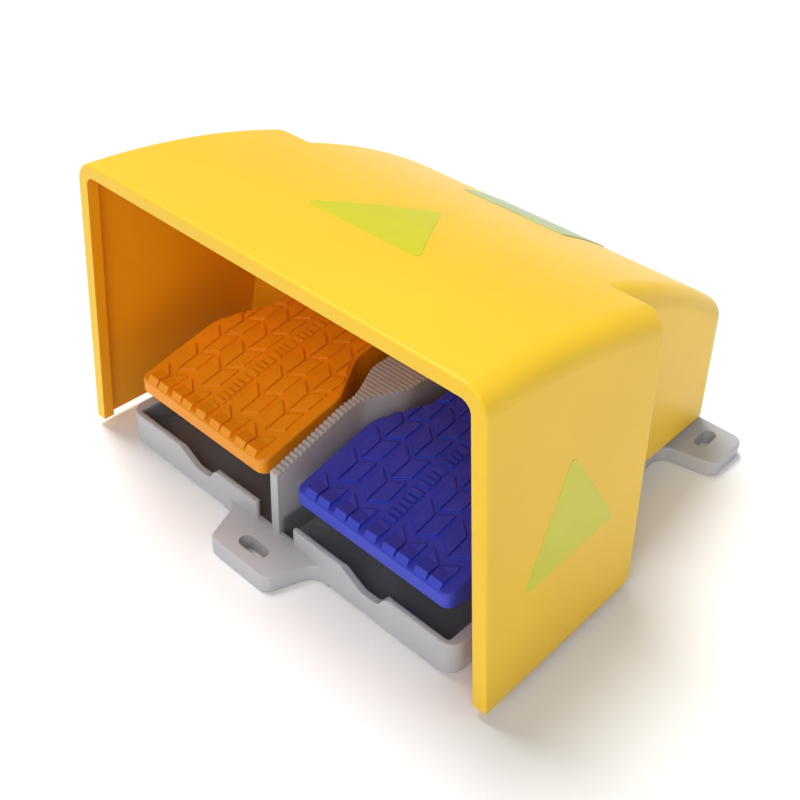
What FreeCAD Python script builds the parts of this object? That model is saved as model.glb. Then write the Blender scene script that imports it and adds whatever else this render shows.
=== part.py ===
# Industrial foot switch with two pedals under one guard hood.
# Millimetres, +X to the right of a person who stands in front of the pedals, +Y away from
# them, +Z up. Origin: on the floor, in the middle of the width, under the hood's front edge.

import FreeCAD, Part
import Sketcher
import math
import os
import re

doc = FreeCAD.newDocument("foot_switch")

# Driving dimensions
DIMENSIONS = [
    ("hood_height", 166.4, "top of the hood's front edge"),
    ("hood_gap", 5.5, "floor to the lower edge of the wide part"),
    ("hood_splay", 6.4, "lean of the wide part's side walls, degrees"),
    ("hood_step_foot", 109.5, "back of the wide part at its lower edge"),
    ("hood_step_lean", 4.2, "backward lean of the step face, degrees"),
    ("hood_rear_gap", 14.0, "floor to the lower edge of the rear part"),
    ("hood_rear_lean", 8.0, "forward lean of the rear wall, degrees"),
    ("hood_back_top", 87.5, "height of the roof curve at the back"),
    ("hood_roof_radius", 405.0, "radius of the roof curve, seen from the side"),
    ("hood_wall", 3.6, "wall of the hood"),
    ("hood_side_room", 20.4, "wide part, from the trays to its walls"),
    ("hood_fit", 0.4, "rear part around the base"),
    ("hood_back_fit", 1.4, "rear wall behind the base, at its lower edge"),
    ("hood_back_inset", 9.0, "from there to where the roof curve has its height at the back"),
    ("hood_corner", 8.0, "round of the wide part's lower rear corners"),
    ("hood_edge", 1.4, "round along the front edge of the hood"),
    ("hood_back_edge", 3.2, "round along the rear edges of the wide part"),
    ("hood_rim", 7.1, "width of the thick rim round the mouth"),
    ("hood_rim_depth", 6.0, "how far the rim reaches inwards"),
    ("hood_round", 13.0, "round along the top edges of the wide part"),
    ("hood_rear_round", 11.0, "round along the top edges of the rear part"),
    ("base_front", 6.0, "front wall of the trays"),
    ("tray_back", 104.0, "back end of the trays"),
    ("floor_plate", 4.0, "thickness of the base plate"),
    ("tray_height", 20.0, "height of the tray walls"),
    ("tray_wall", 3.5, "front wall of the trays, thickness"),
    ("tray_side_wall", 6.0, "side walls of the trays, thickness"),
    ("tray_corner", 8.0, "round of the tray's outer corners"),
    ("tray_inner_corner", 1.5, "round of its inner corners"),
    ("tray_foot", 2.5, "round along the foot of the trays"),
    ("tray_lip", 1.1, "round along the top of the tray walls"),
    ("tray_mark", 5.0, "round casting marks in the tray floors, radius"),
    ("tray_mark_depth", 0.3, "depth of those marks"),
    ("tray_mark_inner", 11.3, "inner marks, from the middle"),
    ("tray_mark_place", 25.5, "place of those marks"),
    ("pedal_clear", 2.3, "pedal to the side walls of its tray"),
    ("tray_gap_half", 13.0, "half width of the opening between the front walls"),
    ("notch_start", 46.0, "drain notch, left end"),
    ("notch_width", 27.5, "drain notch, width at the top"),
    ("notch_slope", 13.0, "drain notch, length of its gentle side"),
    ("notch_depth", 7.0, "drain notch, depth"),
    ("notch_round", 5.0, "drain notch, rounds of its outline"),
    ("notch_steep", 4.0, "drain notch, length of its steep side"),
    ("works_room", 98.0, "from the pivot to the back of the base"),
    ("tub_height", 22.0, "height of the base wall under the hood"),
    ("tub_wall", 3.0, "base wall under the hood"),
    ("divider_front", 7.0, "front edge of the rib between the pedals"),
    ("divider_half", 2.5, "half thickness of that rib"),
    ("divider_front_top", 47.0, "height of its front corner"),
    ("divider_knee", 52.0, "where its sloping edge ends"),
    ("divider_knee_top", 60.5, "height there"),
    ("plateau_start", 64.0, "where the rib begins to widen"),
    ("plateau_full", 86.0, "where it has its full width"),
    ("plateau_top", 62.0, "height of the wide pedestal"),
    ("plateau_half", 13.0, "half width of the pedestal"),
    ("plateau_over", 12.0, "pedestal, behind the pivot"),
    ("plateau_round", 22.0, "rounds where the rib widens"),
    ("rib_pitch", 2.75, "spacing of the fine ribs along the top of the divider"),
    ("rib_groove", 1.3, "width of the grooves between them"),
    ("rib_depth", 0.8, "depth of the grooves"),
    ("ear_thick", 9.0, "thickness of the fixing ears"),
    ("front_ear_root", 29.0, "front ear, half width at the base"),
    ("front_ear_half", 20.0, "front ear, half width at its end"),
    ("front_ear_reach", 18.3, "front ear, how far it stands out"),
    ("front_slot_reach", 7.0, "front slot, its middle in front of the hood's face"),
    ("front_slot_length", 18.0, "front slot, length"),
    ("slot_width", 7.5, "width of the fixing slots"),
    ("rear_slot_length", 16.5, "rear slots, length"),
    ("ear_corner", 6.5, "round of the ears' corners"),
    ("ear_flare", 9.0, "hollow round where an ear meets the base"),
    ("ear_lip", 1.3, "round along the top of the ears"),
    ("rear_slot_reach", 10.0, "rear slots, outside the hood"),
    ("rear_ear_margin", 16.0, "rear ears, from the slot to the outer end"),
    ("rear_ear_over", 2.0, "rear ears, behind the base"),
    ("rear_ear_long", 38.0, "rear ears, length at the hood"),
    ("rear_ear_short", 31.0, "rear ears, length at the outer end"),
    ("rear_slot_inset", 15.3, "rear slots, from the ears' back edge"),
    ("pedal_centre", 59.1, "middle of each pedal"),
    ("pedal_half", 47.6, "half width of the tread"),
    ("pedal_front", 9.6, "front edge of the pedals"),
    ("pedal_front_top", 43.9, "top of the pedal's front edge, before it is rounded"),
    ("pedal_skirt", 36.5, "lower edge of the pedal at its front"),
    ("pedal_low", 30.0, "lower edge of the pedal farther back"),
    ("pedal_low_place", 36.0, "where it is that low"),
    ("pedal_corner", 4.5, "round of the pedal's front corners, seen from above"),
    ("pedal_edge", 1.5, "round along the edge of the tread"),
    ("pedal_rise", 13.5, "slope of the tread, degrees"),
    ("neck_rise", 8.5, "slope of the tread on the neck, degrees"),
    ("bend_start", 48.0, "where the tread begins to bend to the neck"),
    ("bend_round", 200.0, "radius of that bend"),
    ("pedal_plate", 4.0, "thickness of the tread plate"),
    ("pedal_wall", 3.0, "thickness of the pedal's skirt"),
    ("neck_start", 62.0, "where the pedal begins to narrow"),
    ("neck_full", 88.0, "where the neck has its own width"),
    ("neck_half", 33.0, "half width of the neck"),
    ("neck_round", 20.0, "rounds of the narrowing"),
    ("tread_height", 1.2, "height of the raised tread"),
    ("tread_margin", 1.8, "plain edge of the tread on the neck"),
    ("column_inner", 15.0, "middle of the inner columns of the tread"),
    ("column_outer", 34.0, "middle of the outer columns"),
    ("tile_width", 7.0, "width of one tile of the tread"),
    ("tile_groove", 1.25, "groove between the two tiles of a column"),
    ("tile_length", 12.3, "length of the tiles"),
    ("tile_slant", 5.2, "how far a tile's outer end lies behind its inner end"),
    ("tile_first", 24.7, "where the first row of tiles begins"),
    ("row_pitch", 15.8, "spacing of the rows"),
    ("row_count", 6.0, "rows of tiles"),
    ("cleat_start", 0.7, "front blocks, their foot behind the pedal's front"),
    ("cleat_slope", 1.8, "front blocks, length of their sloping face"),
    ("cleat_flat", 9.15, "front blocks, end of their level top behind the pedal's front"),
    ("rung_half", 3.35, "half width of the fine ribs in the middle"),
    ("rung_length", 2.0, "length of each rib"),
    ("rung_pitch", 3.3, "spacing of the ribs in a group"),
    ("rung_first", 29.4, "where the first group of ribs begins"),
    ("pivot_place", 138.0, "pivot shaft, distance behind the hood's face"),
    ("pivot_height", 46.0, "pivot shaft, height"),
    ("shaft_radius", 4.0, "pivot shaft, radius"),
    ("shaft_fit", 0.05, "shaft in its bores, all round"),
    ("shaft_inset", 0.5, "shaft ends inside the base's outer faces"),
    ("lug_thick", 6.0, "shaft lugs at the sides of the base"),
    ("lug_radius", 11.0, "round of the lugs and hubs"),
    ("outer_spacer", 1.4, "outer spacer, length"),
    ("hub_half", 29.4, "half length of a pedal's hub"),
    ("bush_radius", 6.0, "bush, outside"),
    ("bush_length", 14.0, "bush, in the hub"),
    ("bush_flange", 8.0, "bush, radius of its flange"),
    ("bush_flange_thick", 1.5, "bush, thickness of its flange"),
    ("side_play", 0.3, "play between parts along the shaft"),
    ("clip_thick", 1.0, "shaft clips, thickness"),
    ("clip_radius", 7.0, "shaft clips, outside"),
    ("groove_depth", 0.8, "clip grooves in the shaft"),
    ("arm_half", 24.0, "half width of the pedal arm"),
    ("arm_thick", 7.0, "thickness of the pedal arm"),
    ("cover_screw_back", 52.0, "screws that hold the cover on its arm, in front of the pivot"),
    ("cover_screw_out", 16.0, "those screws, from the pedal's middle"),
    ("cover_screw_sunk", 2.5, "their depth in the cover"),
    ("arm_start", 32.0, "front end of the pedal arm behind the pedal's front"),
    ("tail_half", 11.0, "half width of the arm's tail"),
    ("tail_thick", 8.0, "thickness of the tail"),
    ("tail_drop", 6.0, "top of the tail below the pivot's centre"),
    ("tail_reach", 31.0, "how far the tail reaches behind the pivot"),
    ("striker_reach", 26.0, "adjuster screw behind the pivot"),
    ("adjuster_radius", 2.5, "adjuster screw, thread"),
    ("adjuster_rise", 9.0, "adjuster screw, end above the tail"),
    ("switch_play", 0.3, "adjuster screw to plunger when at rest"),
    ("switch_length", 49.2, "switch body, length"),
    ("switch_thick", 17.5, "switch body, thickness"),
    ("switch_height", 24.2, "switch body, height"),
    ("switch_hole_pitch", 25.4, "switch body, spacing of its holes"),
    ("switch_hole_radius", 2.1, "switch body, holes"),
    ("switch_hole_level", 7.0, "switch body, holes above its lower face"),
    ("plunger_radius", 3.5, "plunger, radius"),
    ("plunger_show", 7.0, "plunger, length outside the switch at rest"),
    ("plunger_inside", 7.0, "plunger, length inside the switch at rest"),
    ("plunger_travel", 4.0, "room for the plunger in the switch"),
    ("plunger_fit", 0.08, "plunger in its guide, all round"),
    ("bracket_thick", 2.0, "switch bracket, sheet"),
    ("bracket_margin", 2.5, "switch bracket beyond the switch"),
    ("bracket_foot", 20.0, "switch bracket, length of its foot"),
    ("bracket_bend", 3.0, "switch bracket, outside radius of the bend"),
    ("bracket_pad", 10.0, "bracket bosses, height"),
    ("small_screw", 2.0, "switch and bracket screws, radius of the thread"),
    ("small_head", 3.8, "switch and bracket screws, radius of the head"),
    ("small_head_thick", 2.4, "switch and bracket screws, height of the head"),
    ("small_nut", 3.9, "switch nuts, half width over corners"),
    ("small_nut_thick", 3.0, "switch nuts, height"),
    ("screw_fit", 0.1, "screws in their holes, all round"),
    ("hood_screw", 2.5, "hood screws, radius of the thread"),
    ("hood_screw_head", 4.3, "hood screws, radius of the head"),
    ("hood_head_thick", 5.0, "hood screws, height of the head"),
    ("hood_screw_grip", 12.0, "hood screws, length in the hood's posts"),
    ("post_back_room", 4.0, "rear posts, from the base's back wall"),
    ("post_radius", 7.0, "rear posts of the hood, radius"),
    ("post_pad", 18.5, "base pads under those posts, height"),
    ("web_start", 30.0, "front of the hood's middle web, in front of the pivot"),
    ("web_end", 4.5, "back of that web, in front of the pivot"),
    ("web_half", 8.0, "half thickness of that web"),
    ("spring_reach", 26.0, "return springs, in front of the pivot"),
    ("spring_radius", 8.0, "return springs, to the middle of the wire"),
    ("spring_wire", 1.0, "return springs, radius of the wire"),
    ("spring_turns", 4.0, "return springs, number of turns"),
    ("spring_post", 18.0, "height of the posts that carry the springs"),
    ("spring_pilot", 5.0, "pilots inside the springs, length"),
    ("soft_fit", 0.3, "gap at rest between a soft or sprung piece and its seat"),
    ("stop_reach", 60.0, "down stops, in front of the pivot"),
    ("pedal_travel", 7.0, "travel of the pedals, degrees"),
    ("rest_reach", 14.0, "rest pads, behind the pivot"),
    ("pad_radius", 7.0, "rubber pads, radius"),
    ("pad_thick", 5.0, "rubber pads, height"),
    ("gland_height", 20.0, "middle of the cable gland"),
    ("gland_thread", 8.0, "cable gland, radius of its thread"),
    ("gland_bore", 5.0, "cable gland, radius of the seal's bore"),
    ("gland_passage", 6.3, "cable gland, radius of the passage in its body and nut"),
    ("gland_hex", 12.5, "cable gland, half width over corners"),
    ("gland_hex_thick", 5.0, "cable gland, its hexagon"),
    ("gland_nut_length", 13.0, "cable gland, its nut"),
    ("gland_boss", 17.0, "radius of the boss that carries the gland"),
    ("gland_boss_thick", 8.0, "thickness of that boss"),
    ("locknut_thick", 4.5, "cable gland, locknut"),
    ("seal_length", 7.0, "cable gland, seal"),
    ("notch_room", 2.0, "hood around the gland's boss"),
    ("earth_inset", 36.0, "earth screw, in front of the base's back"),
    ("land", 1.0, "rim of a boss around what stands on it"),
]

# Places that follow from them
FOLLOWING = [
    ("base_half", "pedal_centre + pedal_half + pedal_clear + tray_side_wall", "half width of the trays"),
    ("hood_half_foot", "base_half + hood_side_room + hood_wall", "half width of the wide part at its foot"),
    ("tub_half", "pedal_centre + hub_half + bush_flange_thick + outer_spacer + 2 * side_play + lug_thick",
     "half width of the base under the hood"),
    ("hood_rear_half", "tub_half + hood_fit + hood_wall", "half width of the narrow rear part"),
    ("tub_back", "pivot_place + works_room", "back of the base under the hood"),
    ("hood_depth", "tub_back + hood_wall + hood_back_fit", "back of the rear part at its lower edge"),
    ("hood_back_reach", "hood_depth - hood_back_inset", "where the roof curve has its height at the back"),
    ("plateau_back", "pivot_place + plateau_over", "back of the pedestal"),
    ("web_front", "pivot_place - web_start", "front of the hood's middle web"),
    ("web_back", "pivot_place - web_end", "back of the hood's middle web"),
    ("web_screw_front", "web_front + hood_screw_head + 2 * land", "first screw of the web"),
    ("web_screw_back", "web_back - hood_screw_head - 2 * land", "second screw of the web"),
    ("rib_last", "web_front - rib_pitch", "where the fine ribs end"),
    ("rear_ear_back", "tub_back + rear_ear_over", "rear ears, back edge"),
    ("rear_ear_start", "rear_ear_back - rear_ear_long", "rear ears, front edge at the hood"),
    ("rear_ear_tip", "rear_ear_back - rear_ear_short", "rear ears, front edge at the outer end"),
    ("rear_slot_half", "hood_rear_half + rear_slot_reach", "rear slots, distance from the middle"),
    ("rear_ear_half", "rear_slot_half + rear_ear_margin", "rear ears, half width over both"),
    ("rear_slot_place", "rear_ear_back - rear_slot_inset", "rear slots, middle"),
    ("neck_back", "pivot_place - lug_radius - 5 * land", "back end of the pedal cover"),
    ("bend_y", "bend_start + bend_round * sin(pedal_rise * 1deg)", "centre of the tread's bend"),
    ("bend_z", "pedal_front_top + (bend_y - pedal_front) * tan(pedal_rise * 1deg)"
     " - bend_round / cos(pedal_rise * 1deg)", "height of that centre"),
    ("arm_front", "pedal_front + arm_start", "front end of the pedal arm"),
    ("cover_screw_place", "pivot_place - cover_screw_back", "screws that hold the cover on its arm"),
    ("post_half", "tub_half - tub_wall - post_radius - 2 * land", "rear posts, from the middle"),
    ("post_place", "tub_back - tub_wall - post_radius - post_back_room", "rear posts of the hood"),
    ("spring_place", "pivot_place - spring_reach", "return springs"),
    ("stop_place", "pivot_place - stop_reach", "down stops"),
    ("rest_place", "pivot_place + rest_reach", "rest pads under the tails"),
    ("earth_place", "tub_back - earth_inset", "earth screw"),
]

sheet = doc.addObject("Spreadsheet::Sheet", "sizes")
for row, (alias, value, note) in enumerate(DIMENSIONS + FOLLOWING, start=1):
    sheet.set("A%d" % row, alias)
    sheet.set("B%d" % row, str(value) if isinstance(value, float) else "=" + value)
    sheet.setAlias("B%d" % row, alias)
    sheet.set("C%d" % row, note)
doc.recompute()


class Sizes:
    """The sheet's numbers, for the few places that need one in Python."""


size = Sizes()
for alias, value, note in DIMENSIONS + FOLLOWING:
    setattr(size, alias, float(sheet.get(alias)))

WORD = re.compile(r"\b([a-z][a-z_]*)\b(?!\()")
SIDES = (("left", "-1"), ("right", "1"))


# Helpers: every length is a formula over the sheet's names
def bind(thing, path, formula):
    thing.setExpression(path, WORD.sub(r"sizes.\1", formula))


def turned(axis, degrees):
    return FreeCAD.Rotation(FreeCAD.Vector(*axis), degrees)


ALONG_X = turned((0, 1, 0), 90)
ALONG_Y = turned((1, 0, 0), -90)
WEDGE_UP = turned((1, 0, 0), 90)
TILE_TURN = turned((0, 0, 1), -90)
NECK_TURN = turned((1, 0, 0), size.neck_rise)


def put(thing, place, rotation=None):
    if rotation is not None:
        thing.Placement = FreeCAD.Placement(FreeCAD.Vector(0, 0, 0), rotation)
    for letter, formula in zip("xyz", place):
        bind(thing, "Placement.Base." + letter, formula)
    return thing


def block(name, low, high):
    """A box between two corners."""
    box = doc.addObject("Part::Box", name)
    for side, near, far in zip(("Length", "Width", "Height"), low, high):
        bind(box, side, "(%s) - (%s)" % (far, near))
    return put(box, low)


def rod(name, radius, length, place, rotation=None):
    """A cylinder that starts at a place and runs along +Z, or as it is turned."""
    cylinder = doc.addObject("Part::Cylinder", name)
    bind(cylinder, "Radius", radius)
    bind(cylinder, "Height", length)
    return put(cylinder, place, rotation)


def hexagon(name, corner_radius, length, place, rotation=None):
    prism = doc.addObject("Part::Prism", name)
    prism.Polygon = 6
    bind(prism, "Circumradius", corner_radius)
    bind(prism, "Height", length)
    return put(prism, place, rotation)


def joined(name, pieces):
    fuse = doc.addObject("Part::MultiFuse", name)
    fuse.Shapes = pieces
    fuse.Refine = True
    return fuse


def minus(name, piece, tool):
    cut = doc.addObject("Part::Cut", name)
    cut.Base = piece
    cut.Tool = tool
    cut.Refine = True
    return cut


def shared(name, pieces):
    common = doc.addObject("Part::MultiCommon", name)
    common.Shapes = pieces
    common.Refine = True
    return common


def group(name, pieces):
    compound = doc.addObject("Part::Compound", name)
    compound.Links = pieces
    return compound


def rounded(name, piece, radius, chosen):
    """Round the edges for which chosen(edge) is true."""
    doc.recompute()
    fillet = doc.addObject("Part::Fillet", name)
    fillet.Base = piece
    edges = enumerate(piece.Shape.Edges, start=1)
    fillet.Edges = [(number, radius, radius) for number, edge in edges if chosen(edge)]
    return fillet


def drafted(name, bottom, top, low_box, high_box):
    """A solid between a lower and an upper rectangle, each (x low, x high, y low, y high)."""
    wedge = doc.addObject("Part::Wedge", name)
    names_low = ("Xmin", "Xmax", "Zmax", "Zmin")
    names_high = ("X2min", "X2max", "Z2max", "Z2min")
    bind(wedge, "Ymin", bottom)
    bind(wedge, "Ymax", top)
    for names, box in ((names_low, low_box), (names_high, high_box)):
        for number, (side, formula) in enumerate(zip(names, box)):
            bind(wedge, side, formula if number < 2 else "-(%s)" % formula)
    wedge.Placement = FreeCAD.Placement(FreeCAD.Vector(0, 0, 0), WEDGE_UP)
    return wedge


def plane_of(body, role):
    for feature in body.Origin.OriginFeatures:
        if feature.Role == role:
            return feature
    raise RuntimeError(role)


def sketch_loop(body, name, role, points, arcs=()):
    """A closed outline on one of the body's planes, every corner bound to its formulas.

    arcs maps the number of a side to (radius formula, a point near the middle of the arc).
    """
    sketch = body.newObject("Sketcher::SketchObject", name)
    sketch.AttachmentSupport = (plane_of(body, role), [""])
    sketch.MapMode = "FlatFace"
    arcs = dict(arcs)
    count = len(points)
    start = []
    for number in range(count):
        turn = 2 * math.pi * number / count
        start.append(FreeCAD.Vector(size.tray_back * math.cos(turn), size.tray_back * math.sin(turn), 0))
    for number, (radius, ends) in arcs.items():
        start[number] = FreeCAD.Vector(*ends[0], 0)
        start[(number + 1) % count] = FreeCAD.Vector(*ends[2], 0)
    for number in range(count):
        near, far = start[number], start[(number + 1) % count]
        if number in arcs:
            middle = FreeCAD.Vector(*arcs[number][1][1], 0)
            sketch.addGeometry(Part.Arc(near, middle, far))
        else:
            sketch.addGeometry(Part.LineSegment(near, far))
    # An arc keeps its own sense, so its two ends are read back
    ends = []
    for number in range(count):
        first = sketch.getPoint(number, 1).distanceToPoint(start[number])
        second = sketch.getPoint(number, 2).distanceToPoint(start[number])
        ends.append((1, 2) if first <= second else (2, 1))
    for number in range(count):
        after = (number + 1) % count
        corner = (number, ends[number][1], after, ends[after][0])
        sketch.addConstraint(Sketcher.Constraint("Coincident", *corner))
    for number, corner in enumerate(points):
        for kind, letter, formula in zip(("DistanceX", "DistanceY"), "xy", corner):
            value = start[number].x if letter == "x" else start[number].y
            word = "%s%d" % (letter, number)
            made = Sketcher.Constraint(kind, number, ends[number][0], value)
            sketch.renameConstraint(sketch.addConstraint(made), word)
            bind(sketch, "Constraints." + word, formula)
    for number, (radius, near) in arcs.items():
        made = Sketcher.Constraint("Radius", number, sketch.Geometry[number].Radius)
        sketch.renameConstraint(sketch.addConstraint(made), "radius%d" % number)
        bind(sketch, "Constraints.radius%d" % number, radius)
    return sketch


def prism(name, role, points, length, lift=None, both_ways=False, arcs=()):
    """A PartDesign body: one outline, padded. role is the plane that it is drawn on."""
    body = doc.addObject("PartDesign::Body", name)
    sketch = sketch_loop(body, name + "_outline", role, points, arcs)
    pad = body.newObject("PartDesign::Pad", name + "_pad")
    pad.Profile = sketch
    pad.SideType = "Symmetric" if both_ways else "One side"
    bind(pad, "Length", length)
    if lift is not None:
        put(body, lift)
    return body


def mirrored_pair(make):
    """make(side word, sign) once for each side."""
    return [make(side, sign) for side, sign in SIDES]


def front_edge(edge):
    return edge.BoundBox.YMax < 0.01 and edge.BoundBox.ZMax > size.hood_gap + 1


def back_edge(edge):
    return edge.BoundBox.YMin > size.hood_step_foot - 0.01 and edge.BoundBox.ZMax > size.hood_gap + 1


# Hood: a wide part over the pedals and a narrow part over the works, under one curved roof
def hood_form(name, wall, spare, front, round_wide, round_rear):
    """The hood's solid form. wall is taken off every side, spare is added below."""
    foot = "hood_gap - %s" % spare
    rear_foot = "hood_rear_gap" if spare == "0" else foot
    roof = "hood_height + hood_rim"
    wide_half = "hood_half_foot - (%s - hood_gap) * tan(hood_splay * 1deg) - %s"
    wide_back = "hood_step_foot + (%s - hood_gap) * tan(hood_step_lean * 1deg) - %s"
    rear_back = "hood_depth - (%s - hood_rear_gap) * tan(hood_rear_lean * 1deg) - %s"
    boxes = []
    for level in (foot, roof):
        half = wide_half % ("(%s)" % level, wall)
        back = wide_back % ("(%s)" % level, wall)
        boxes.append(("-(%s)" % half, half, front, back))
    wide = drafted(name + "_wide", foot, roof, *boxes)
    boxes = []
    for level in (rear_foot, roof):
        half = "hood_rear_half - %s" % wall
        back = rear_back % ("(%s)" % level, wall)
        boxes.append(("-(%s)" % half, half, "hood_step_foot / 2", back))
    rear = drafted(name + "_rear", rear_foot, roof, *boxes)
    deep = "hood_depth + hood_round"
    low = "-hood_round"
    line = [
        (low, low),
        (deep, low),
        (deep, "hood_back_top - %s" % wall),
        ("hood_back_reach", "hood_back_top - %s" % wall),
        ("0", "hood_height - %s" % wall),
        (low, "hood_height - %s" % wall),
    ]
    inset = size.hood_wall if wall == "hood_wall" else 0.0
    far = (size.hood_back_reach, size.hood_back_top - inset)
    near = (0.0, size.hood_height - inset)
    rise = (size.hood_height - size.hood_back_top) / 4
    middle = (size.hood_back_reach / 2, (far[1] + near[1]) / 2 + rise)
    arcs = {3: ("hood_roof_radius - %s" % wall, (far, middle, near))}
    span = "2 * hood_half_foot + hood_round"
    halves = []
    for word, form, radius in (("wide", wide, round_wide), ("rear", rear, round_rear)):
        under = prism("%s_under_%s" % (name, word), "YZ_Plane", line, span, None, True, arcs)
        cut = shared("%s_%s_form" % (name, word), [form, under])
        low_edge = size.hood_rear_gap + size.hood_round
        forward = size.hood_step_foot / 2 if word == "rear" else size.hood_rim_depth

        def chosen(edge, word=word):
            box = edge.BoundBox
            if word == "wide":
                return box.YLength > forward * 2 and box.ZMin > size.hood_back_top
            return box.ZMax > low_edge and box.YMax > forward + 1.0

        half = rounded("%s_%s_rounded" % (name, word), cut, radius, chosen)
        if word == "wide" and wall == "0":
            half = rounded(name + "_front_edge", half, size.hood_edge, front_edge)
            half = rounded(name + "_back_edge", half, size.hood_back_edge, back_edge)
        halves.append(half)
    return joined(name, halves)


outer = hood_form("hood_skin", "0", "0", "0", size.hood_round, size.hood_rear_round)
hollow = hood_form("hood_hollow", "hood_wall", "hood_rim", "hood_rim_depth",
                   size.hood_round - size.hood_wall, size.hood_rear_round - size.hood_wall)
mouth_half = "hood_half_foot - hood_rim - (%s - hood_gap) * tan(hood_splay * 1deg)"
mouth_low = mouth_half % "(0)"
mouth_high = mouth_half % "(hood_height - hood_rim)"
mouth_box = drafted(
    "hood_mouth_box", "0", "hood_height - hood_rim",
    ("-(%s)" % mouth_low, mouth_low, "-hood_rim", "hood_rim_depth + 1"),
    ("-(%s)" % mouth_high, mouth_high, "-hood_rim", "hood_rim_depth + 1"),
)
mouth = rounded(
    "hood_mouth", mouth_box, size.hood_round - size.hood_rim,
    lambda edge: edge.BoundBox.YLength > size.hood_rim_depth and edge.BoundBox.ZMin > size.hood_rim,
)
corner_middle = (
    "(hood_step_foot + hood_corner * tan(hood_step_lean * 1deg)"
    " - hood_corner / cos(hood_step_lean * 1deg))"
)
corner_top = "hood_gap + hood_corner * (1 - sin(hood_step_lean * 1deg))"
corner_tool = minus(
    "hood_corner_tool",
    block("hood_corner_block", ("-hood_half_foot - 1", corner_middle, "0"),
          ("hood_half_foot + 1", "hood_step_foot + hood_corner", corner_top)),
    rod("hood_corner_rod", "hood_corner", "2 * hood_half_foot + 4",
        ("-hood_half_foot - 2", corner_middle, "hood_gap + hood_corner"), ALONG_X))
shell = minus("hood_shell", outer, joined("hood_inside", [hollow, mouth, corner_tool]))

HOOD_SCREWS = [
    ("0", "web_screw_front", "plateau_top"),
    ("0", "web_screw_back", "plateau_top"),
    ("-post_half", "post_place", "post_pad"),
    ("post_half", "post_place", "post_pad"),
]
web = block("hood_web", ("-web_half", "web_front", "plateau_top"),
            ("web_half", "web_back", "hood_height"))
posts = [
    rod("hood_post_" + side, "post_radius", "hood_height - post_pad",
        (sign + " * post_half", "post_place", "post_pad"))
    for side, sign in SIDES
]
inner_posts = shared("hood_posts", [joined("hood_posts_tall", [web] + posts), outer])
hood_whole = joined("hood_whole", [shell, inner_posts])
hood_holes = [
    rod("hood_hole_%d" % number, "hood_screw + screw_fit", "hood_screw_grip + 2", (x, y, z))
    for number, (x, y, z) in enumerate(HOOD_SCREWS)
]
gland_room = [
    rod("hood_notch_round", "gland_boss + notch_room", "hood_wall * 6",
        ("0", "tub_back - gland_boss_thick", "gland_height"), ALONG_Y),
    block("hood_notch_foot", ("-gland_boss - notch_room", "tub_back - gland_boss_thick", "0"),
          ("gland_boss + notch_room", "tub_back - gland_boss_thick + hood_wall * 6", "gland_height")),
]
hood = minus("hood", hood_whole, joined("hood_cuts", hood_holes + gland_room))


# Base casting
def slot(name, half_width, length, x, y, along_x):
    """A round-ended slot cutter through an ear."""
    reach = "(%s / 2 - %s)" % (length, half_width)
    span = "ear_thick + 2"
    dx, dy = (reach, "0") if along_x else ("0", reach)
    wide_x, wide_y = (reach, half_width) if along_x else (half_width, reach)
    ends = []
    for number, word in enumerate("+-"):
        place = ("%s %s %s" % (x, word, dx), "%s %s %s" % (y, word, dy), "-1")
        ends.append(rod(name + "_end_%d" % number, half_width, span, place))
    middle = block(name + "_middle", ("%s - %s" % (x, wide_x), "%s - %s" % (y, wide_y), "-1"),
                   ("%s + %s" % (x, wide_x), "%s + %s" % (y, wide_y), "ear_thick + 1"))
    return joined(name, ends + [middle])


def upright(edge):
    return edge.BoundBox.ZLength > 1.0 and edge.BoundBox.XLength + edge.BoundBox.YLength < 0.01


tray_block = block("tray_block", ("-base_half", "base_front", "0"), ("base_half", "tray_back", "tray_height"))
tray_form = rounded("tray_form", tray_block, size.tray_corner,
                    lambda edge: upright(edge) and edge.BoundBox.YMax < size.base_front + 1)
tray_solid = rounded("tray_solid", tray_form, size.tray_foot,
                     lambda edge: edge.BoundBox.ZMax < 0.01 and edge.BoundBox.YMin < size.tray_back - 1)
tray_hollow_block = block(
    "tray_hollow_block", ("-base_half + tray_side_wall", "base_front + tray_wall", "floor_plate"),
    ("base_half - tray_side_wall", "tray_back - tray_wall", "tray_height + 1"))
tray_hollow = rounded("tray_hollow", tray_hollow_block, size.tray_inner_corner, upright)
tray = rounded("tray", minus("tray_open", tray_solid, tray_hollow), size.tray_lip,
               lambda edge: edge.BoundBox.ZMin > size.tray_height - 0.01)
tub_block = block("tub_block", ("-tub_half", "tray_back - tray_side_wall", "0"),
                  ("tub_half", "tub_back", "tub_height"))
tub = rounded("tub", tub_block, size.hood_rear_round,
              lambda edge: upright(edge) and edge.BoundBox.YMin > size.tub_back - 1)
tub_hollow_block = block(
    "tub_hollow_block", ("-tub_half + tub_wall", "tray_back - tray_side_wall * 2", "floor_plate"),
    ("tub_half - tub_wall", "tub_back - tub_wall", "tub_height + 1"))
tub_hollow = rounded("tub_hollow", tub_hollow_block, size.hood_rear_round - size.tub_wall,
                     lambda edge: upright(edge) and edge.BoundBox.YMin > size.tub_back - size.tub_wall - 1)
front_gap_block = block(
    "front_gap_block", ("-tray_gap_half - tray_inner_corner", "base_front - 1", "ear_thick"),
    ("tray_gap_half + tray_inner_corner", "base_front + tray_wall + 1", "tray_height + 1"))


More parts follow.
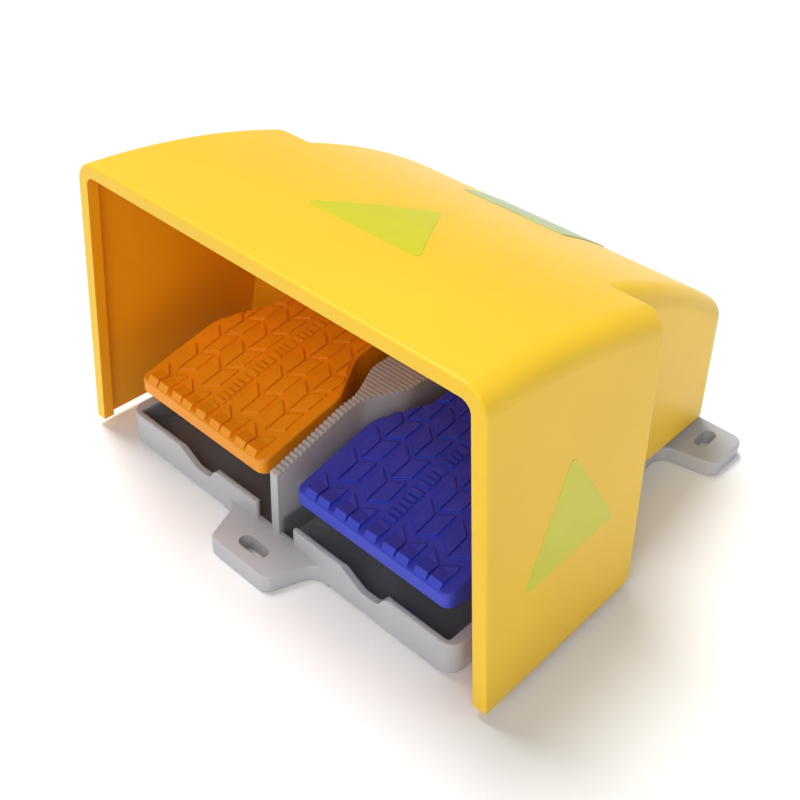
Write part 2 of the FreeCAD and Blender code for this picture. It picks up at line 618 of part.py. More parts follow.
def wall_end(side, sign):
    """The rounded end of the front wall beside the opening."""
    start = "tray_gap_half" if sign == "1" else "-tray_gap_half - 2 * tray_inner_corner"
    end = block("wall_end_block_" + side, (start, "base_front", "0"),
                (start + " + 2 * tray_inner_corner", "base_front + tray_wall", "tray_height + 2"))
    near = size.tray_gap_half + size.tray_inner_corner
    return rounded("wall_end_" + side, end, size.tray_inner_corner,
                   lambda edge: upright(edge) and abs(edge.BoundBox.Center.x) < near)


front_gap = minus("front_gap", front_gap_block, group("wall_ends", mirrored_pair(wall_end)))


def drain(side, sign):
    """The drain notch of one tray, cut down into its front wall."""
    left = "(notch_start - pedal_centre + %s * pedal_centre)" % sign
    right = left + " + notch_width"
    line = [
        (left + " - notch_round", "tray_height + 1"),
        (left + " - notch_round", "tray_height"),
        (left, "tray_height"),
        (left + " + notch_slope", "tray_height - notch_depth"),
        (right + " - notch_steep", "tray_height - notch_depth"),
        (right, "tray_height"),
        (right + " + notch_round", "tray_height"),
        (right + " + notch_round", "tray_height + 1"),
    ]
    sharp = prism("drain_sharp_" + side, "XZ_Plane", line, "tray_wall + 2",
                  ("0", "base_front + tray_wall + 1", "0"))
    middle = size.notch_start + size.notch_width / 2 - size.pedal_centre + float(sign) * size.pedal_centre

    def chosen(edge):
        box = edge.BoundBox
        near = abs(box.Center.x - middle) < size.notch_width / 2 + 1
        return box.YLength > size.tray_wall and box.ZMax < size.tray_height + 0.5 and near

    return rounded("drain_" + side, sharp, size.notch_round, chosen)


def marks(side, sign):
    """Round casting marks in the floor of one tray."""
    outer_mark = "(base_half - tray_side_wall - tray_mark - land / 2)"
    return [
        rod("tray_mark_%s_%d" % (side, number), "tray_mark", "tray_mark_depth + 1",
            (sign + " * " + x, "tray_mark_place", "floor_plate - tray_mark_depth"))
        for number, x in enumerate((outer_mark, "tray_mark_inner"))
    ]


pan = minus("base_pan", joined("base_pan_whole", [tray, tub]),
            joined("base_hollows", [tray_hollow, tub_hollow, front_gap] + mirrored_pair(drain)))

divider_outline = prism("divider_outline", "XY_Plane", [
    ("-divider_half", "divider_front"),
    ("-divider_half", "plateau_start"),
    ("-plateau_half", "plateau_full"),
    ("-plateau_half", "plateau_back"),
    ("plateau_half", "plateau_back"),
    ("plateau_half", "plateau_full"),
    ("divider_half", "plateau_start"),
    ("divider_half", "divider_front"),
], "plateau_top + 1")
divider_plan = rounded(
    "divider_plan", divider_outline, size.plateau_round,
    lambda edge: upright(edge) and size.divider_front + 1 < edge.BoundBox.Center.y < size.plateau_back - 1)
divider_side = prism("divider_side", "YZ_Plane", [
    ("divider_front", "0"),
    ("plateau_back", "0"),
    ("plateau_back", "plateau_top"),
    ("plateau_start", "plateau_top"),
    ("divider_knee", "divider_knee_top"),
    ("divider_front", "divider_front_top"),
], "2 * plateau_half + 2", None, True)
divider = shared("divider", [divider_plan, divider_side])

front_ear_outline = prism("front_ear_outline", "XY_Plane", [
    ("-front_ear_root - ear_flare", "base_front"),
    ("-front_ear_root", "base_front"),
    ("-front_ear_half", "-front_ear_reach"),
    ("front_ear_half", "-front_ear_reach"),
    ("front_ear_root", "base_front"),
    ("front_ear_root + ear_flare", "base_front"),
    ("front_ear_root + ear_flare", "base_front + 3 * land"),
    ("-front_ear_root - ear_flare", "base_front + 3 * land"),
], "ear_thick")
front_ear_ends = rounded("front_ear_ends", front_ear_outline, size.ear_corner,
                         lambda edge: upright(edge) and edge.BoundBox.YMax < 0)
root_end = size.front_ear_root + 1
front_ear_sides = rounded(
    "front_ear_sides", front_ear_ends, size.ear_flare,
    lambda edge: upright(edge) and abs(edge.BoundBox.YMax - size.base_front) < 0.01
    and abs(edge.BoundBox.Center.x) < root_end)
front_ear = rounded(
    "front_ear", front_ear_sides, size.ear_lip,
    lambda edge: edge.BoundBox.ZMin > size.ear_thick - 0.01 and edge.BoundBox.YMax < size.base_front + 0.01)


def rear_ear(side, sign):
    line = [
        (sign + " * (tub_half - tub_wall)", "rear_ear_start - ear_flare"),
        (sign + " * tub_half", "rear_ear_start - ear_flare"),
        (sign + " * tub_half", "rear_ear_start"),
        (sign + " * rear_ear_half", "rear_ear_tip"),
        (sign + " * rear_ear_half", "rear_ear_back"),
        (sign + " * tub_half", "rear_ear_back"),
        (sign + " * (tub_half - tub_wall)", "tub_back"),
    ]
    outline = prism("rear_ear_outline_" + side, "XY_Plane", line, "ear_thick")
    far = size.tub_half + 1
    ends = rounded("rear_ear_ends_" + side, outline, size.ear_corner,
                   lambda edge: upright(edge) and abs(edge.BoundBox.Center.x) > far)

    def at_root(edge):
        centre = edge.BoundBox.Center
        return upright(edge) and abs(abs(centre.x) - size.tub_half) < 0.01 and abs(centre.y - size.rear_ear_start) < 1

    def on_top(edge):
        centre = edge.BoundBox.Center
        return edge.BoundBox.ZMin > size.ear_thick - 0.01 and abs(centre.x) > size.tub_half - 0.01

    sides = rounded("rear_ear_sides_" + side, ends, size.ear_flare, at_root)
    return rounded("rear_ear_" + side, sides, size.ear_lip, on_top)


def lug(side, sign):
    """The lug that carries one end of the shaft."""
    near = "%s * tub_half - lug_thick * (1 + %s) / 2" % (sign, sign)
    column = block("lug_column_" + side, (near, "pivot_place - lug_radius", "0"),
                   (near + " + lug_thick", "pivot_place + lug_radius", "pivot_height"))
    head = rod("lug_head_" + side, "lug_radius", "lug_thick", (near, "pivot_place", "pivot_height"), ALONG_X)
    return joined("lug_" + side, [column, head])


tail_under = "(pivot_height - tail_drop - tail_thick)"


def tread_front(y, above):
    """Height at y of a line above the front slope of the tread."""
    return (
        "(pedal_front_top + (%s - pedal_front) * tan(pedal_rise * 1deg) + (%s) / cos(pedal_rise * 1deg))"
        % (y, above)
    )


def tread_neck(y, above):
    """Height at y of a line above the tread's slope on the neck."""
    return (
        "(bend_z + (%s - bend_y) * tan(neck_rise * 1deg) + (bend_round + (%s)) / cos(neck_rise * 1deg))"
        % (y, above)
    )


def bend_point(above, rise):
    """Where a line above the tread's bend meets one of its slopes."""
    reach = "(bend_round + (%s))" % above
    return ("bend_y - %s * sin(%s * 1deg)" % (reach, rise), "bend_z + %s * cos(%s * 1deg)" % (reach, rise))


def bend_arc(above, back_to_front=False):
    """The bend's side for sketch_loop, above the tread by a number of the sheet or by 0."""
    reach = size.bend_round + above
    turns = [math.radians(turn) for turn in
             (size.pedal_rise, (size.pedal_rise + size.neck_rise) / 2, size.neck_rise)]
    places = [(size.bend_y - reach * math.sin(turn), size.bend_z + reach * math.cos(turn)) for turn in turns]
    return places[::-1] if back_to_front else places


arm_depth = "(pedal_plate + arm_thick)"
arm_under = tread_neck("%s", "0 - " + arm_depth)
stop_front = "(pivot_place - stop_place + pad_radius)"
stop_level = (
    "(pivot_height - %s * sin(pedal_travel * 1deg) - (pivot_height - %s) * cos(pedal_travel * 1deg) - 2 * soft_fit)"
    % (stop_front, arm_under % "(stop_place - pad_radius)")
)
rest_level = "(%s - soft_fit)" % tail_under
switch_middle = "(pivot_place + striker_reach)"
switch_back = "(pivot_place + striker_reach + switch_thick / 2)"
striker_top = "(pivot_height - tail_drop + adjuster_rise)"
switch_under = "(%s + switch_play + plunger_show)" % striker_top
bracket_screw_x = "(switch_length / 2 - small_head * 2)"
bracket_screw_y = "(%s + bracket_foot * 0.6)" % switch_back


def bosses(side, sign):
    """Everything that stands on the floor of one half of the base."""
    middle = sign + " * pedal_centre"
    made = [
        rod("spring_post_" + side, "spring_radius + spring_wire + land", "spring_post",
            (middle, "spring_place", "0")),
        rod("spring_pilot_" + side, "spring_radius - spring_wire - land", "spring_post + spring_pilot",
            (middle, "spring_place", "0")),
        rod("stop_post_" + side, "pad_radius + land", stop_level + " - pad_thick", (middle, "stop_place", "0")),
        rod("rest_post_" + side, "pad_radius + land", rest_level + " - pad_thick", (middle, "rest_place", "0")),
        rod("hood_pad_" + side, "post_radius + land", "post_pad", (sign + " * post_half", "post_place", "0")),
    ]
    for number, word in enumerate("-+"):
        made.append(rod("bracket_boss_%s_%d" % (side, number), "small_head + 1.5 * land", "bracket_pad",
                        ("%s %s %s" % (middle, word, bracket_screw_x), bracket_screw_y, "0")))
    return made


gland_seat = [
    rod("gland_seat_round", "gland_boss", "gland_boss_thick",
        ("0", "tub_back - gland_boss_thick", "gland_height"), ALONG_Y),
    block("gland_seat_foot", ("-gland_boss", "tub_back - gland_boss_thick", "0"),
          ("gland_boss", "tub_back", "gland_height")),
]
earth_boss = rod("earth_boss", "small_head + 3 * land", "bracket_pad", ("0", "earth_place", "0"))
base_whole = joined(
    "base_whole",
    [pan, divider, front_ear, earth_boss] + mirrored_pair(rear_ear) + mirrored_pair(lug)
    + sum(mirrored_pair(bosses), []) + gland_seat,
)
below_floor = block("below_floor", ("-base_half * 2", "-base_half", "-base_half"),
                    ("base_half * 2", "base_half * 3", "0"))
base_cuts = [
    below_floor,
    slot("front_slot", "slot_width / 2", "front_slot_length", "0", "-front_slot_reach", True),
    rod("shaft_bore", "shaft_radius + shaft_fit", "2 * tub_half + 2",
        ("-tub_half - 1", "pivot_place", "pivot_height"), ALONG_X),
    rod("gland_hole", "gland_thread + screw_fit", "gland_boss_thick + 2",
        ("0", "tub_back - gland_boss_thick - 1", "gland_height"), ALONG_Y),
    rod("earth_hole", "small_screw + screw_fit", "bracket_pad", ("0", "earth_place", "floor_plate")),
]
for side, sign in SIDES:
    base_cuts += marks(side, sign)
    base_cuts.append(slot("rear_slot_" + side, "slot_width / 2", "rear_slot_length",
                          sign + " * rear_slot_half", "rear_slot_place", False))
    for number, word in enumerate("-+"):
        x = "%s * pedal_centre %s %s" % (sign, word, bracket_screw_x)
        base_cuts.append(rod("bracket_hole_%s_%d" % (side, number), "small_screw + screw_fit",
                             "bracket_pad", (x, bracket_screw_y, "floor_plate")))
for number, (x, y, z) in enumerate(HOOD_SCREWS):
    seat = "%s - hood_screw_grip" % z
    base_cuts.append(rod("head_recess_%d" % number, "hood_screw_head + 4 * screw_fit",
                         seat + " + 1", (x, y, "-1")))
    base_cuts.append(rod("through_hole_%d" % number, "hood_screw + screw_fit",
                         "hood_screw_grip + 1", (x, y, seat)))
base_smooth = minus("base_smooth", base_whole, joined("base_cuts", base_cuts))


def rib_grooves():
    """Fine grooves across the top of the divider, square to its slope."""
    grooves = []
    front = size.divider_front + size.rib_pitch
    slope = (size.divider_knee_top - size.divider_front_top) / (size.divider_knee - size.divider_front)
    rest = (size.plateau_top - size.divider_knee_top) / (size.plateau_start - size.divider_knee)
    for number in range(int((size.rib_last - front) / size.rib_pitch) + 1):
        place = "(divider_front + %d * rib_pitch)" % (number + 1)
        y = front + number * size.rib_pitch
        if y < size.divider_knee:
            top = "divider_front_top + (%s - divider_front) * %.6f" % (place, slope)
        elif y < size.plateau_start:
            top = "divider_knee_top + (%s - divider_knee) * %.6f" % (place, rest)
        else:
            top = "plateau_top"
        grooves.append(block("rib_groove_%d" % number,
                             ("-plateau_half - 1", place, top + " - rib_depth"),
                             ("plateau_half + 1", place + " + rib_groove", top + " + 1")))
    return group("rib_grooves", grooves)


base = minus("base_casting", base_smooth, rib_grooves())

hood_screws = []
for number, (x, y, z) in enumerate(HOOD_SCREWS):
    seat = "%s - hood_screw_grip" % z
    head = rod("hood_screw_head_%d" % number, "hood_screw_head", "hood_head_thick",
               (x, y, seat + " - hood_head_thick"))
    shank = rod("hood_screw_shank_%d" % number, "hood_screw", "2 * hood_screw_grip", (x, y, seat))
    socket = hexagon("hood_screw_socket_%d" % number, "hood_screw", "hood_head_thick / 2",
                     (x, y, seat + " - hood_head_thick"))
    whole = joined("hood_screw_whole_%d" % number, [head, shank])
    hood_screws.append(minus("hood_screw_%d" % number, whole, socket))
group("hood_screws", hood_screws)


# Pivot shaft, its clips and spacers
def tube(name, outside, inside, length, place, rotation=None):
    return minus(name, rod(name + "_solid", outside, length, place, rotation),
                 rod(name + "_bore", inside, length, place, rotation))


clip_near = "(plateau_half + side_play)"
clip_far = "(plateau_half + side_play + clip_thick)"


def clip(side, sign):
    start = clip_near if sign == "1" else "-%s" % clip_far
    ring = tube("clip_ring_" + side, "clip_radius", "shaft_radius - groove_depth + shaft_fit",
                "clip_thick", (start, "pivot_place", "pivot_height"), ALONG_X)
    mouth_gap = block("clip_mouth_" + side, (start, "pivot_place - shaft_radius / 2", "pivot_height - clip_radius"),
                      (start + " + clip_thick", "pivot_place + shaft_radius / 2", "pivot_height"))
    return minus("shaft_clip_" + side, ring, mouth_gap)


def groove(side, sign):
    start = clip_near if sign == "1" else "-%s" % clip_far
    return tube("shaft_groove_" + side, "shaft_radius + 1", "shaft_radius - groove_depth",
                "clip_thick", (start, "pivot_place", "pivot_height"), ALONG_X)


shaft_rod = rod("shaft_rod", "shaft_radius", "2 * (tub_half - shaft_inset)",
                ("-tub_half + shaft_inset", "pivot_place", "pivot_height"), ALONG_X)
minus("pivot_shaft", shaft_rod, joined("shaft_grooves", mirrored_pair(groove)))
group("shaft_clips", mirrored_pair(clip))

hub_near = "(pedal_centre - hub_half - bush_flange_thick - side_play)"
hub_far = "(pedal_centre + hub_half + bush_flange_thick + side_play)"


def spacers(side, sign):
    """The long inner and the thin outer spacer beside one pedal."""
    made = []
    lug_face = "(tub_half - lug_thick - side_play)"
    for word, near, far in (("inner", clip_far + " + side_play", hub_near), ("outer", hub_far, lug_face)):
        start = "(%s)" % near if sign == "1" else "-(%s)" % far
        made.append(tube("spacer_%s_%s" % (word, side), "bush_radius", "shaft_radius + shaft_fit",
                         "%s - (%s)" % (far, near), (start, "pivot_place", "pivot_height"), ALONG_X))
    return made


group("pivot_spacers", sum(mirrored_pair(spacers), []))


# Pedals
def pedal_plan(name, inset, front, back):
    """The outline of a pedal from above, a length inside its edge."""
    plan = []
    for side in "-+":
        line = [
            ("pedal_centre %s (pedal_half - %s)" % (side, inset), front),
            ("pedal_centre %s (pedal_half - %s)" % (side, inset), "neck_start"),
            ("pedal_centre %s (neck_half - %s)" % (side, inset), "neck_full"),
            ("pedal_centre %s (neck_half - %s)" % (side, inset), back),
        ]
        plan += line if side == "-" else line[::-1]
    sharp = prism(name + "_sharp", "XY_Plane", plan, "hood_height")
    nose = size.pedal_front + size.pedal_wall + 1
    turns = rounded(name + "_turns", sharp, size.neck_round,
                    lambda edge: upright(edge) and nose < edge.BoundBox.Center.y < size.neck_back - 1)
    inward = 0 if inset == "0" else getattr(size, inset)
    return rounded(name, turns, size.pedal_corner - inward,
                   lambda edge: upright(edge) and edge.BoundBox.Center.y < nose)


def tread_level(y):
    """Height of the tread, as a number."""
    rise = math.radians(size.pedal_rise)
    turn = math.radians(size.neck_rise)
    if y < size.bend_start:
        return size.pedal_front_top + (y - size.pedal_front) * math.tan(rise)
    if y < size.bend_y - size.bend_round * math.sin(turn):
        return size.bend_z + math.sqrt(size.bend_round ** 2 - (size.bend_y - y) ** 2)
    return size.bend_z + (y - size.bend_y) * math.tan(turn) + size.bend_round / math.cos(turn)


def tread_outline(edge):
    """The edges round the tread, without its back end and the seams across it."""
    span = edge.LastParameter - edge.FirstParameter
    places = [edge.valueAt(edge.FirstParameter + part * span) for part in (0, 0.5, 1)]
    across = edge.BoundBox.YLength < 0.01 and edge.BoundBox.YMin > size.pedal_front + 1
    return not across and all(abs(place.z - tread_level(place.y)) < 0.02 for place in places)


def tile(name, lines, low, high):
    """An upright cutter with four sides: lines are two places along X, low and high its ends there."""
    wedge = doc.addObject("Part::Wedge", name)
    bind(wedge, "Ymin", lines[0])
    bind(wedge, "Ymax", lines[1])
    bind(wedge, "Xmin", "-(%s)" % high[0])
    bind(wedge, "Xmax", "-(%s)" % low[0])
    bind(wedge, "X2min", "-(%s)" % high[1])
    bind(wedge, "X2max", "-(%s)" % low[1])
    for side in ("Zmin", "Z2min"):
        bind(wedge, side, "0")
    for side in ("Zmax", "Z2max"):
        bind(wedge, side, "hood_height")
    wedge.Placement = FreeCAD.Placement(FreeCAD.Vector(0, 0, 0), TILE_TURN)
    return wedge


def tiles():
    """The tread seen from above: V rows in four columns, fine ribs in the middle."""
    first = "(pedal_front + cleat_start - 1)"
    flat = "(pedal_front + cleat_flat)"
    made = []
    for column, place in enumerate(("- column_outer", "- column_inner", "+ column_inner", "+ column_outer")):
        for word in "-+":
            near = "(pedal_centre %s %s tile_groove / 2)" % (place, word)
            far = "(%s %s tile_width)" % (near, word)
            for row in range(-1, int(size.row_count)):
                start = first if row < 0 else "(tile_first + %d * row_pitch)" % row
                end = flat if row < 0 else "(%s + tile_length)" % start
                low = [start, start if row < 0 else start + " + tile_slant"]
                high = [end, end + " + tile_slant"]
                lines = [near, far]
                if word == "-":
                    lines, low, high = lines[::-1], low[::-1], high[::-1]
                name = "tile_%d_%s_%d" % (column, "left" if word == "-" else "right", row + 1)
                made.append(tile(name, lines, low, high))
    rungs = [(first, flat + " + rung_length")]
    for number in (-2, -1):
        start = "(rung_first + %d * rung_pitch)" % number
        rungs.append((start, start + " + rung_length"))
    for row in range(int(size.row_count)):
        for number in range(4):
            start = "(rung_first + %d * row_pitch + %d * rung_pitch)" % (row, number)
            rungs.append((start, start + (" + rung_length" if number < 3 else " + rung_pitch")))
    for number, (start, end) in enumerate(rungs):
        made.append(block("rung_%d" % number, ("pedal_centre - rung_half", start, "0"),
                          ("pedal_centre + rung_half", end, "hood_height")))
    return group("tread_tiles", made)


def tread():
    """The raised tread: a row of blocks along the front, with level tops, and the rows behind."""
    above = "tread_height"
    under = "0 - tread_height"
    first = "(pedal_front + cleat_start)"
    brow = "(pedal_front + cleat_start + cleat_slope)"
    flat = "(pedal_front + cleat_flat)"
    level = tread_front(flat, above)
    line = [
        (first, tread_front(first, under)),
        (first, tread_front(first, "0")),
        (brow, level),
        (flat, level),
        bend_point(above, "pedal_rise"),
        bend_point(above, "neck_rise"),
        ("neck_back", tread_neck("neck_back", above)),
        ("neck_back", tread_neck("neck_back", under)),
        bend_point(under, "neck_rise"),
        bend_point(under, "pedal_rise"),
    ]
    arcs = {4: ("bend_round + tread_height", bend_arc(size.tread_height))}
    slab = prism("tread_slab", "YZ_Plane", line, "4 * base_half", None, True, arcs)
    plan = pedal_plan("tread_plan", "tread_margin", "pedal_front", "neck_back")
    return shared("tread", [shared("tread_whole", [slab, plan]), tiles()])


def screw_on_slope(name, middle, word, part):
    """A part of one of the two cover screws, square to the arm's sloping underside."""
    radius, start, length = part
    x = "%s %s cover_screw_out" % (middle, word)
    y = "cover_screw_place"
    level = arm_under % y
    place = (x, "%s - %s * sin(neck_rise * 1deg)" % (y, start), "%s + %s * cos(neck_rise * 1deg)" % (level, start))
    return rod(name, radius, length, place, NECK_TURN)


def pedal():
    """The right pedal. The left one is its mirror image."""
    side_line = [
        ("pedal_front", "pedal_skirt"),
        ("pedal_front", tread_front("pedal_front", "0")),
        bend_point("0", "pedal_rise"),
        bend_point("0", "neck_rise"),
        ("neck_back", tread_neck("neck_back", "0")),
        ("neck_back", "pedal_low"),
        ("pedal_low_place", "pedal_low"),
    ]
    side = prism("pedal_side", "YZ_Plane", side_line, "4 * base_half", None, True,
                 {2: ("bend_round", bend_arc(0))})
    form = shared("pedal_form", [pedal_plan("pedal_plan", "0", "pedal_front", "neck_back"), side])
    skin = rounded("pedal_skin", form, size.pedal_edge, tread_outline)
    front = "(pedal_front + pedal_wall)"
    under = "0 - pedal_plate"
    hollow_line = [
        (front, "pedal_low - pedal_wall"),
        (front, tread_front(front, under)),
        bend_point(under, "pedal_rise"),
        bend_point(under, "neck_rise"),
        ("neck_back + 1", tread_neck("(neck_back + 1)", under)),
        ("neck_back + 1", "pedal_low - pedal_wall"),
    ]
    hollow_side = prism("pedal_hollow_side", "YZ_Plane", hollow_line, "4 * base_half", None, True,
                        {2: ("bend_round - pedal_plate", bend_arc(-size.pedal_plate))})
    hollow_plan = pedal_plan("pedal_hollow_plan", "pedal_wall", front, "neck_back + 1")
    hollow = shared("pedal_hollow", [hollow_plan, hollow_side])
    cover = joined("pedal_raised", [minus("pedal_shell", skin, hollow), tread()])
    hole = ("small_screw + screw_fit", "(arm_thick - land)", "cover_screw_sunk + 2 * land")
    holes = [screw_on_slope("cover_hole_%d" % number, "pedal_centre", word, hole)
             for number, word in enumerate("-+")]
    right = minus("pedal_right", cover, joined("cover_holes", holes))
    left = doc.addObject("Part::Mirroring", "pedal_left")
    left.Source = right
    left.Normal = FreeCAD.Vector(1, 0, 0)


pedal()


def pedal_arm(side, sign):
    """The cast arm in a pedal: sloping beam, hub, spring seat and tail."""
    middle = sign + " * pedal_centre"
    bend = "(neck_back - 4 * land)"
    over = "0 - pedal_plate"
    under = "0 - " + arm_depth
    beam_line = [
        ("arm_front", tread_front("arm_front", over)),
        bend_point(over, "pedal_rise"),
        bend_point(over, "neck_rise"),
        (bend, tread_neck(bend, over)),
        ("pivot_place", "pivot_height + lug_radius * 0.7"),
        ("pivot_place", "pivot_height - lug_radius * 0.7"),
        (bend, tread_neck(bend, under)),
        bend_point(under, "neck_rise"),
        bend_point(under, "pedal_rise"),
        ("arm_front", tread_front("arm_front", under)),
    ]
    depth = size.pedal_plate + size.arm_thick
    arcs = {
        1: ("bend_round - pedal_plate", bend_arc(-size.pedal_plate)),
        7: ("bend_round - " + arm_depth, bend_arc(-depth, True)),
    }
    beam = prism("arm_beam_" + side, "YZ_Plane", beam_line, "2 * arm_half", (middle, "0", "0"), True, arcs)
    hub = rod("arm_hub_" + side, "lug_radius", "2 * hub_half",
              (middle + " - hub_half", "pivot_place", "pivot_height"), ALONG_X)
    tail = block("arm_tail_" + side, (middle + " - tail_half", "pivot_place", tail_under),
                 (middle + " + tail_half", "pivot_place + tail_reach", tail_under + " + tail_thick"))
    seat = rod("arm_spring_seat_" + side, "spring_radius + spring_wire + land", "arm_thick",
               (middle, "spring_place", spring_top), None)
    pilot = rod("arm_spring_pilot_" + side, "spring_radius - spring_wire - land", "spring_pilot + 1",
                (middle, "spring_place", spring_top + " - spring_pilot"))
    whole = joined("arm_whole_" + side, [beam, hub, tail, seat, pilot])
    cuts = [
        rod("arm_bore_" + side, "bush_radius + shaft_fit", "2 * hub_half + 2",
            (middle + " - hub_half - 1", "pivot_place", "pivot_height"), ALONG_X),
        rod("arm_adjuster_hole_" + side, "adjuster_radius + screw_fit", "tail_thick + 2",
            (middle, switch_middle, tail_under + " - 1")),
    ]
    hole = ("small_screw + screw_fit", "(-1)", "arm_thick + 2")
    for number, word in enumerate("-+"):
        cuts.append(screw_on_slope("arm_hole_%s_%d" % (side, number), middle, word, hole))
    minus("pedal_arm_" + side, whole, joined("arm_cuts_" + side, cuts))


spring_top = "(%s - arm_thick / 2)" % (arm_under % "spring_place")
mirrored_pair(pedal_arm)


def pedal_screws(side, sign):
    middle = sign + " * pedal_centre"
    made = []
    for number, word in enumerate("-+"):
        head = screw_on_slope("cover_head_%s_%d" % (side, number), middle, word,
                              ("small_head", "(-small_head_thick)", "small_head_thick"))
        shank = screw_on_slope("cover_shank_%s_%d" % (side, number), middle, word,
                               ("small_screw", "0", "arm_thick + cover_screw_sunk"))
        made.append(joined("cover_screw_%s_%d" % (side, number), [head, shank]))
    group("pedal_screws_" + side, made)


mirrored_pair(pedal_screws)


def bushes(side, sign):
    """A flanged bush at each end of a hub."""
    middle = sign + " * pedal_centre"
    made = []
    for number, word in enumerate("-+"):
        outer_end = "(%s %s hub_half)" % (middle, word)
        sleeve_start = outer_end if word == "-" else outer_end + " - bush_length"
        flange_start = outer_end + " - bush_flange_thick" if word == "-" else outer_end
        name = "bush_%s_%d" % (side, number)
        sleeve = rod(name + "_sleeve", "bush_radius", "bush_length",
                     (sleeve_start, "pivot_place", "pivot_height"), ALONG_X)
        flange = rod(name + "_flange", "bush_flange", "bush_flange_thick",
                     (flange_start, "pivot_place", "pivot_height"), ALONG_X)
        bore = rod(name + "_bore", "shaft_radius + shaft_fit", "2 * hub_half + 2 * bush_flange",
                   (middle + " - hub_half - bush_flange", "pivot_place", "pivot_height"), ALONG_X)
        made.append(minus(name, joined(name + "_whole", [sleeve, flange]), bore))
    group("pivot_bushes_" + side, made)


mirrored_pair(bushes)


def adjuster(side, sign):
    """Domed screw in the tail that lifts the plunger, and its locknut."""
    middle = sign + " * pedal_centre"
    dome = "adjuster_radius"
    foot = "(%s - 4)" % tail_under
    shank = rod("adjuster_shank_" + side, "adjuster_radius", "%s - %s - %s" % (striker_top, foot, dome),
                (middle, switch_middle, foot))
    ball = doc.addObject("Part::Sphere", "adjuster_dome_" + side)
    bind(ball, "Radius", dome)
    put(ball, (middle, switch_middle, "%s - %s" % (striker_top, dome)))
    joined("adjuster_screw_" + side, [shank, ball])
    nut_low = "(pivot_height - tail_drop)"
    nut = hexagon("adjuster_nut_form_" + side, "small_nut * 1.15", "small_nut_thick",
                  (middle, switch_middle, nut_low))
    minus("adjuster_nut_" + side, nut,
          rod("adjuster_nut_bore_" + side, "adjuster_radius + screw_fit", "small_nut_thick",
              (middle, switch_middle, nut_low)))


mirrored_pair(adjuster)


# Switches on their brackets
def switch(side, sign):
    middle = sign + " * pedal_centre"
    low = (middle + " - switch_length / 2", switch_middle + " - switch_thick / 2", switch_under)
    high = (middle + " + switch_length / 2", switch_middle + " + switch_thick / 2",
            switch_under + " + switch_height")
    body = block("switch_form_" + side, low, high)
    guide = rod("switch_guide_" + side, "plunger_radius + 2.5", "plunger_show / 4",
                (middle, switch_middle, switch_under + " - plunger_show / 4"))
    cuts = [rod("plunger_room_" + side, "plunger_radius + plunger_fit",
                "plunger_show / 4 + plunger_inside + plunger_travel",
                (middle, switch_middle, switch_under + " - plunger_show / 4"))]
    for number, word in enumerate("-+"):
        cuts.append(rod("switch_hole_%s_%d" % (side, number), "switch_hole_radius", "switch_thick + 2",
                        ("%s %s switch_hole_pitch / 2" % (middle, word), switch_middle + " - switch_thick / 2 - 1",
                         switch_under + " + switch_hole_level"), ALONG_Y))
    minus("switch_body_" + side, joined("switch_whole_" + side, [body, guide]), joined("switch_cuts_" + side, cuts))
    rod("switch_plunger_" + side, "plunger_radius", "plunger_show + plunger_inside",
        (middle, switch_middle, switch_under + " - plunger_show"))
    edge = "(switch_length / 2 + bracket_margin)"
    bracket_line = [
        (switch_back, "bracket_pad"),
        (switch_back, switch_under + " + switch_height / 2"),
        (switch_back + " + bracket_thick", switch_under + " + switch_height / 2"),
        (switch_back + " + bracket_thick", "bracket_pad + bracket_thick"),
        (switch_back + " + bracket_foot", "bracket_pad + bracket_thick"),
        (switch_back + " + bracket_foot", "bracket_pad"),
    ]
    sheet_form = prism("bracket_form_" + side, "YZ_Plane", bracket_line, "2 * " + edge, (middle, "0", "0"), True)
    holes = []
    for number, word in enumerate("-+"):
        holes.append(rod("bracket_switch_hole_%s_%d" % (side, number), "small_screw + screw_fit", "bracket_thick + 2",
                         ("%s %s switch_hole_pitch / 2" % (middle, word), switch_back + " - 1",
                          switch_under + " + switch_hole_level"), ALONG_Y))
        holes.append(rod("bracket_foot_hole_%s_%d" % (side, number), "small_screw + screw_fit", "bracket_thick + 2",
                         ("%s %s %s" % (middle, word, bracket_screw_x), bracket_screw_y, "bracket_pad - 1")))
    minus("switch_bracket_" + side, sheet_form, joined("bracket_holes_" + side, holes))


mirrored_pair(switch)

